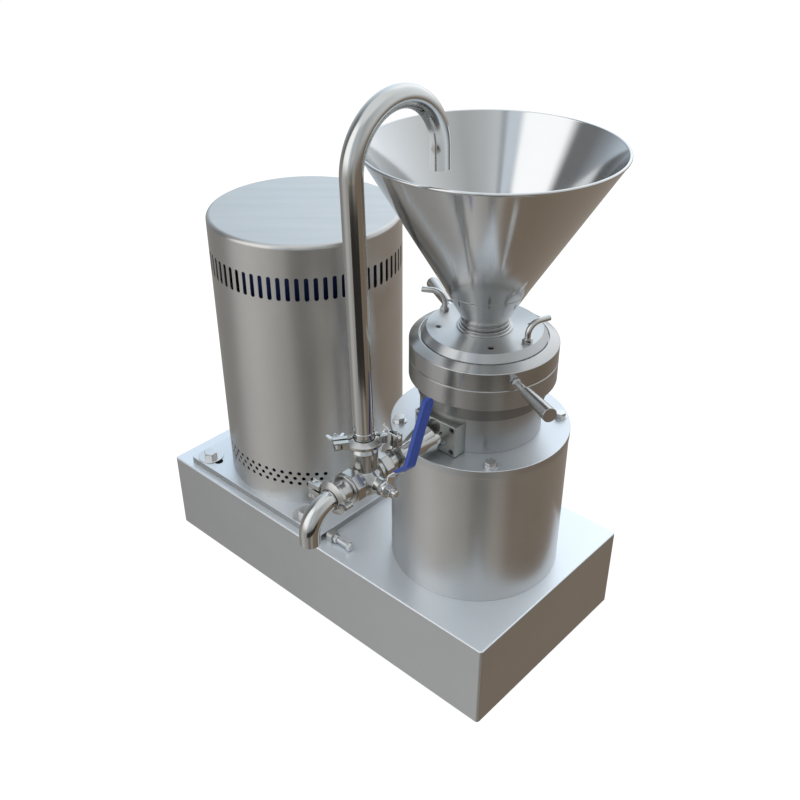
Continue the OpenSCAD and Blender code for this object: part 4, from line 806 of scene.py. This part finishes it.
def bentStrip(arm, start, end, width, grow):  # outline in the plane of arm and stem, pushed out to its width
    o, rise, low, high, ease = arm["out"], arm["offset"], arm["bendStart"], arm["bendEnd"], arm["ease"]
    first = 0 if start < low else (start - low) / (high - low) * rise
    path = [(start, o + first)]
    if start < low:
        path += [(low - ease, o), (low, o + 0.6), (low + ease, o + ease)]
    path += [(high - ease, o + rise - ease), (high, o + rise - 0.6), (high + ease, o + rise), (end, o + rise)]
    near = [(x - grow, y, -width / 2) for y, x in path]
    far = [(x + arm["thick"] + grow, y, -width / 2) for y, x in path[::-1]]
    return pushedOut(near + far, (0, 0, width))


def makeStrap(arm):
    strip = bentStrip(arm, arm["start"], arm["length"], arm["width"], 0)
    radius, low, high = arm["hub"]
    hub = band(valve["stemBore"], radius, low, high, 48)
    return gathered((softEdges(strip, 0.8, 2, 50), alongLever), (softEdges(hub, 0.6), toStem))


def makeSleeve(arm):
    grow, tip = arm["sleeve"], arm["sleeveEnd"]
    bm = bentStrip(arm, arm["sleeveStart"], tip, arm["width"] + 2 * grow, grow)
    tipEdges = [e for e in bm.edges if all(v.co.y > tip - 1 for v in e.verts)]
    cornerEdges = [e for e in tipEdges if abs(e.verts[0].co.x - e.verts[1].co.x) > 2]
    return gathered((softEdges(bevelled(bm, cornerEdges, arm["tipCut"], 1), 1.3, 2, 40), alongLever))


piece("leverStrap", makeStrap(lever), "valve_handle", "boltSteel", ["valve_lever"])
piece("leverSleeve", makeSleeve(lever), "valve_handle", "blueVinyl", ["lever_sleeve"], 40)
stemNut = gathered((hexagon(lever["nutFlats"], lever["hub"][2], lever["nutEnd"], 0.9, 12), toStem))
piece("stemNut", stemNut, "valve_handle", "boltSteel", ["stem_nut"])
stem = {"line": [(0, 27.5), (7, 27.5), (7, 77.5), (5.8, 79), (0, 79)]}
stemShape = gathered((turned(stem["line"], 32, False), toStem))
piece("valveStem", stemShape, "valve_handle", "boltSteel", ["valve_stem"])
print("valve made")

# Tube clamps: two hinged halves, a swing bolt and a wing nut each
clamp = {"outer": 33.25, "width": 16, "inner": 25.6, "lip": 21, "groove": 4.3, "gap": 2, "fork": 4.3,
         "bolt": 48.25, "earTop": 12, "earRoot": -42, "prong": (-57, -40), "hinge": 37.25, "knuckle": 6,
         "pin": 2.5}
swing = {"shank": (4, -7, 29), "eye": (6, -4.1, 4.1), "eyeDrop": -7}
wing = {"thick": 3.8, "hub": [(4.1, 0), (8.5, 0), (8.5, 1.5), (7, 10), (4.1, 10)],
        "line": [(5, 2.5), (8, 2.5), (12.5, 6.5), (16.8, 13), (17.2, 16.5), (15.6, 19), (12.4, 19),
                 (9.6, 15.5), (6.6, 10.5), (5, 9.5)]}


def clampHalf(c):
    o, w, i, lip, gap, top = c["outer"], c["width"] / 2, c["inner"], c["lip"], c["gap"], c["earTop"]
    section = [(i, -c["groove"]), (lip, -w), (lip + 2, -w), (o - 0.5, -3.4), (o, -2.8)]
    section += [(r, -z) for r, z in section[::-1]]
    start = math.asin(gap / i)
    bm = bmesh.new()
    verts = [bm.verts.new((r * math.cos(start), r * math.sin(start), z)) for r, z in section]
    face = bm.faces.new(verts)
    bmesh.ops.spin(bm, geom=[face] + list(face.edges) + verts, cent=(0, 0, 0), axis=(0, 0, 1),
                   angle=math.pi - 2 * start, steps=40, use_merge=False)
    bmesh.ops.recalc_face_normals(bm, faces=bm.faces)
    addTo(bm, block((c["earRoot"], gap, -w), (4 - o, top, w), 1.2))
    far, near = c["prong"]
    for z in (-w, c["fork"]):
        addTo(bm, block((far, gap, z), (near, top, z + w - c["fork"]), 0.9))
    return bm


def makeClamp(c):
    second = clampHalf(c)
    whole = list(second.verts) + list(second.edges) + list(second.faces)
    bmesh.ops.mirror(second, geom=whole, matrix=Matrix(), merge_dist=0.0, axis="Y")
    bmesh.ops.delete(second, geom=[v for v in second.verts if v.co.y > 0], context="VERTS")
    bmesh.ops.recalc_face_normals(second, faces=second.faces)
    bm = gathered(clampHalf(c), second)
    h, r, pin = c["hinge"], c["knuckle"], c["pin"]
    for low, high in ((-8, -3), (-2.6, 2.6), (3, 8)):
        addTo(bm, softEdges(band(pin + 0.1, r, low, high, 24), 0.5), at(h, 0, 0))
    addTo(bm, prism(16, pin, -8.6, 8.6, 0.5), at(h, 0, 0))
    addTo(bm, block((h - 9, 2.2, -2.6), (h - 2, r, 2.6), 0.5))
    for z in (-8, 3):
        addTo(bm, block((h - 9, -r, z), (h - 2, -2.2, z + 5), 0.5))
    return bm


def swingBolt(b, side):
    shank = prism(24, *b["shank"], 0.6)
    eye = prism(24, *b["eye"], 0.6)
    return gathered((shank, at(-side, 0, 0) @ rot("X", -90)), (eye, at(-side, b["eyeDrop"], 0)))


def wingNut(n, side, seat):
    thick = n["thick"]
    bm = softEdges(turned(n["hub"], 32), 0.5)
    for turn in (0, 180):
        blade = pushedOut([(r, -thick / 2, z) for r, z in n["line"]], (0, thick, 0))
        addTo(bm, softEdges(blade, 0.9, 2, 50), rot("Z", turn))
    return gathered((bm, at(-side, seat + 0.3, 0) @ rot("X", -90)))


clampPlaces = {
    "inlet": atValve @ at(0, valve["joint"], 0) @ rot("Y", 90) @ rot("X", -90),
    "outlet": atValve @ at(0, -valve["joint"], 0) @ rot("X", -90),
    "top": atValve @ at(0, 0, valve["joint"]) @ rot("Z", 55),
}
clamps = bmesh.new()
swingBolts = bmesh.new()
for clampName, place in clampPlaces.items():
    addTo(clamps, makeClamp(clamp), place)
    addTo(swingBolts, swingBolt(swing, clamp["bolt"]), place)
    nut = gathered((wingNut(wing, clamp["bolt"], clamp["earTop"]), place))
    piece(clampName + "WingNut", nut, clampName + "_wing", "boltSteel",
          [clampName + "_wing_nut"], 40)
piece("tubeClamps", clamps, "frame", "castSteel", ["tube_clamps"])
piece("swingBolts", swingBolts, "frame", "boltSteel", ["clamp_bolts"])
print("clamps made")

# Spout elbow and return pipe
spout = {"straight": 10, "bend": 50, "end": 16, "rise": 3}
returnLine = {"lean": 1.6, "pivot": 12, "leg": 471, "bend": 104, "drop": 36, "sunk": 8}


def makeSpout(p):
    straight = p["straight"]
    moves = [("run", (0, 0, straight - p["rise"])), ("turn", (p["bend"], 0, straight), 90, 24),
             ("run", (p["end"], 0, 0))]
    bm = tube(pipeRadius, pipeWall, moves, 48, p["rise"])
    addTo(bm, turned([(pipeRadius, 6)] + ferrule + [(pipeBore, 0), (pipeBore, 6)], 64))
    weld = turned([(18.8, 7.4), (19.5, 8.0), (19.5, 8.8), (18.8, 9.6)], 48)
    addTo(bm, softEdges(weld, 0.1))
    return gathered((bm, atValve @ at(0, -valve["next"], 0) @ rot("X", 90) @ rot("Z", -90)))


def makeReturn(p):
    leg = p["leg"]
    moves = [("run", (0, 0, leg + p["sunk"])), ("turn", (p["bend"], 0, leg), 180, 48),
             ("run", (0, 0, -p["drop"]))]
    leaning = tube(pipeRadius, pipeWall, moves, 56, -p["sunk"])
    bm = gathered((leaning, at(0, 0, p["pivot"]) @ rot("Y", -p["lean"])))
    weld = [(19.2, 22), (19.9, 20.5), (19.6, 19), (19.6, 6)]
    addTo(bm, turned(weld + ferrule + [(17.8, 0), (17.8, 14), (18.4, 22)], 64))
    return gathered((bm, atValve @ at(0, 0, valve["next"]) @ rot("Z", 90)))


piece("spoutElbow", makeSpout(spout), "frame", "pipeSteel", ["spout_elbow"], 25)
piece("returnPipe", makeReturn(returnLine), "frame", "pipeSteel", ["return_pipe"], 25)
print("pipes made")

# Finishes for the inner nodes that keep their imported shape
slotFinish = {"satin_steel": "satinSteel", "turned_steel": "turnedSteel", "polished_steel": "castSteel",
              "fastener_steel": "boltSteel", "cover_steel": "coverSteel", "motor_paint": "motorPaint",
              "shaft_steel": "shaftSteel", "cast_iron": "castIron", "black_plastic": "fanPlastic",
              "belt_rubber": "beltRubber", "white_seal": "sealWhite", "carbon_seal": "sealCarbon",
              "blue_sleeve": "blueVinyl"}
for part in frame["record"]["subparts"]:
    node = cadNodes[part["node"]]
    if node.hide_render:
        continue
    node.data.materials.clear()
    node.data.materials.append(finishes[slotFinish[part["material_slot"]]])

# Floor, dark card, surroundings and lamps, in metres
floorDisc = {"radius": 24.0, "drop": 0.0005, "colour": (0.9, 0.9, 0.9), "glow": 1.05, "glowShare": 0.88}
card = {"centre": (0.281, -0.344, -0.002), "reach": (1.2, 2.8), "start": -76, "sweep": 76,
        "colour": (0.035, 0.033, 0.03)}


def makeFloor(f):
    material, s = newMaterial("paleFloor")
    seen = s.out(s.add("LightPath"), "Is Camera Ray")
    matte = s.add("BsdfDiffuse", Color=f["colour"])
    glow = s.add("Emission", Color=(1, 1, 1), Strength=f["glow"])
    both = s.add("MixShader", Fac=seen * f["glowShare"], n1=s.out(matte), n2=s.out(glow))
    s.add("OutputMaterial", Surface=s.out(both))
    bm = bmesh.new()
    bmesh.ops.create_circle(bm, cap_ends=True, segments=96, radius=f["radius"])
    floor = inScene("floor", meshOf(bm, "floor"))
    floor.data.materials.append(material)
    floor.location.z = -f["drop"]
    floor.visible_glossy = False


def makeCard(c):  # lies just under the floor, where only reflections see it, to darken the tall pipe's middle
    material, s = newMaterial("darkCard")
    s.add("OutputMaterial", Surface=s.out(s.add("Emission", Color=c["colour"], Strength=1.0)))
    bm = bmesh.new()
    ends = [bm.verts.new((reach, 0, 0)) for reach in c["reach"]]
    side = bm.edges.new(ends)
    bmesh.ops.spin(bm, geom=ends + [side], cent=(0, 0, 0), axis=(0, 0, 1), angle=math.radians(c["sweep"]),
                   steps=24, use_merge=False)
    bmesh.ops.transform(bm, matrix=at(*c["centre"]) @ rot("Z", c["start"]), verts=bm.verts)
    obj = inScene("card", meshOf(bm, "card"))
    obj.data.materials.append(material)
    obj.visible_camera = False
    obj.visible_diffuse = False
    obj.visible_shadow = False


# Colours of the room by turn: 0 at -X, 0.25 at -Y, 0.5 at +X, 0.75 at +Y
room = {"strength": 1.6, "horizon": (-0.28, 0.20), "top": (0.70, 0.92), "overhead": (0.64, 0.66, 0.68)}
room["below"] = [
    (0.0, (0.20, 0.195, 0.185)), (0.08, (0.225, 0.22, 0.215)), (0.125, (0.35, 0.35, 0.35)),
    (0.18, (0.385, 0.38, 0.37)), (0.235, (0.30, 0.295, 0.285)), (0.322, (0.24, 0.23, 0.21)),
    (0.343, (0.14, 0.134, 0.122)), (0.386, (0.14, 0.134, 0.122)), (0.41, (0.25, 0.235, 0.21)),
    (0.44, (0.26, 0.24, 0.21)), (0.48, (0.16, 0.13, 0.105)), (0.60, (0.145, 0.115, 0.085)),
    (0.72, (0.185, 0.15, 0.12)), (0.86, (0.225, 0.21, 0.185)), (1.0, (0.20, 0.195, 0.185))]
room["above"] = [
    (0.0, (0.24, 0.265, 0.295)), (0.05, (0.14, 0.145, 0.15)), (0.105, (0.13, 0.135, 0.14)),
    (0.135, (0.95, 0.96, 0.97)), (0.262, (0.95, 0.96, 0.97)), (0.278, (0.48, 0.53, 0.58)),
    (0.312, (0.50, 0.55, 0.60)), (0.322, (0.22, 0.24, 0.26)), (0.34, (0.46, 0.48, 0.49)),
    (0.385, (0.38, 0.40, 0.41)), (0.45, (0.33, 0.345, 0.35)), (0.58, (0.50, 0.52, 0.53)),
    (0.72, (0.70, 0.74, 0.78)), (0.80, (0.94, 0.97, 1.0)), (0.84, (0.81, 0.89, 0.96)),
    (0.88, (0.62, 0.73, 0.84)), (0.93, (0.44, 0.51, 0.57)), (1.0, (0.24, 0.265, 0.295))]


def makeWorld(r):
    world = bpy.data.worlds.new("studio")
    bpy.context.scene.world = world
    world.use_nodes = True
    s = Shader(world.node_tree)
    x, y, z = s.split(s.out(s.add("TexCoord"), "Generated"))
    seen = s.out(s.add("LightPath"), "Is Camera Ray")
    turn = s.out(s.add("Math", {"operation": "ARCTAN2"}, n0=y, n1=x)) / math.tau + 0.5

    def rising(low, high):
        return s.out(s.add("MapRange", {"interpolation_type": "SMOOTHSTEP"}, n0=z, n1=low, n2=high))

    below = s.out(s.add("ValToRGB", {"stops": r["below"]}, Fac=turn))
    above = s.out(s.add("ValToRGB", {"stops": r["above"]}, Fac=turn))
    walls = s.blend(rising(*r["horizon"]), below, above)
    around = s.blend(rising(*r["top"]), walls, r["overhead"])
    surroundings = s.add("Background", Color=around, Strength=r["strength"])
    white = s.add("Background", Color=(1, 1, 1), Strength=1.0)
    both = s.add("MixShader", Fac=seen, n1=s.out(surroundings), n2=s.out(white))
    s.add("OutputWorld", Surface=s.out(both))


lamps = {
    "topLamp": {"place": (0.3, 0.4, 3.4), "aim": (0, 0, 0.6), "size": (2.2, 2.2), "energy": 92},
    "keyLamp": {"place": (-1.6, -2.6, 2.0), "aim": (0, 0, 0.5), "size": (1.2, 2.0), "energy": 30},
}


def makeLamp(name, place, aim, size, energy):
    lamp = bpy.data.lights.new(name, "AREA")
    lamp.shape = "RECTANGLE"
    lamp.size, lamp.size_y = size
    lamp.energy = energy
    obj = inScene(name, lamp)
    obj.location = place
    obj.rotation_euler = (Vector(aim) - Vector(place)).to_track_quat("-Z", "Y").to_euler()
    obj.visible_camera = False
    obj.visible_glossy = False


makeFloor(floorDisc)
makeCard(card)
makeWorld(room)
for lampName, settings in lamps.items():
    makeLamp(lampName, **settings)

# Camera solved from the photo: its axes and its place in metres
view = {"lens": 43.26, "sensor": 36, "reach": 50, "right": (0.74005, 0.67255, -0.00155),
        "up": (-0.3566, 0.39434, 0.84696), "back": (0.57023, -0.62624, 0.53166),
        "place": (1.28789, -1.35388, 1.64580)}
cameraData = bpy.data.cameras.new("camera")
cameraData.lens = view["lens"]
cameraData.sensor_width = view["sensor"]
cameraData.clip_end = view["reach"]
camera = inScene("camera", cameraData)
axes = Matrix((view["right"], view["up"], view["back"])).transposed()
camera.matrix_world = at(*view["place"]) @ axes.to_4x4()
bpy.context.scene.camera = camera
bpy.context.scene.view_settings.view_transform = "Standard"
print("studio and camera set")
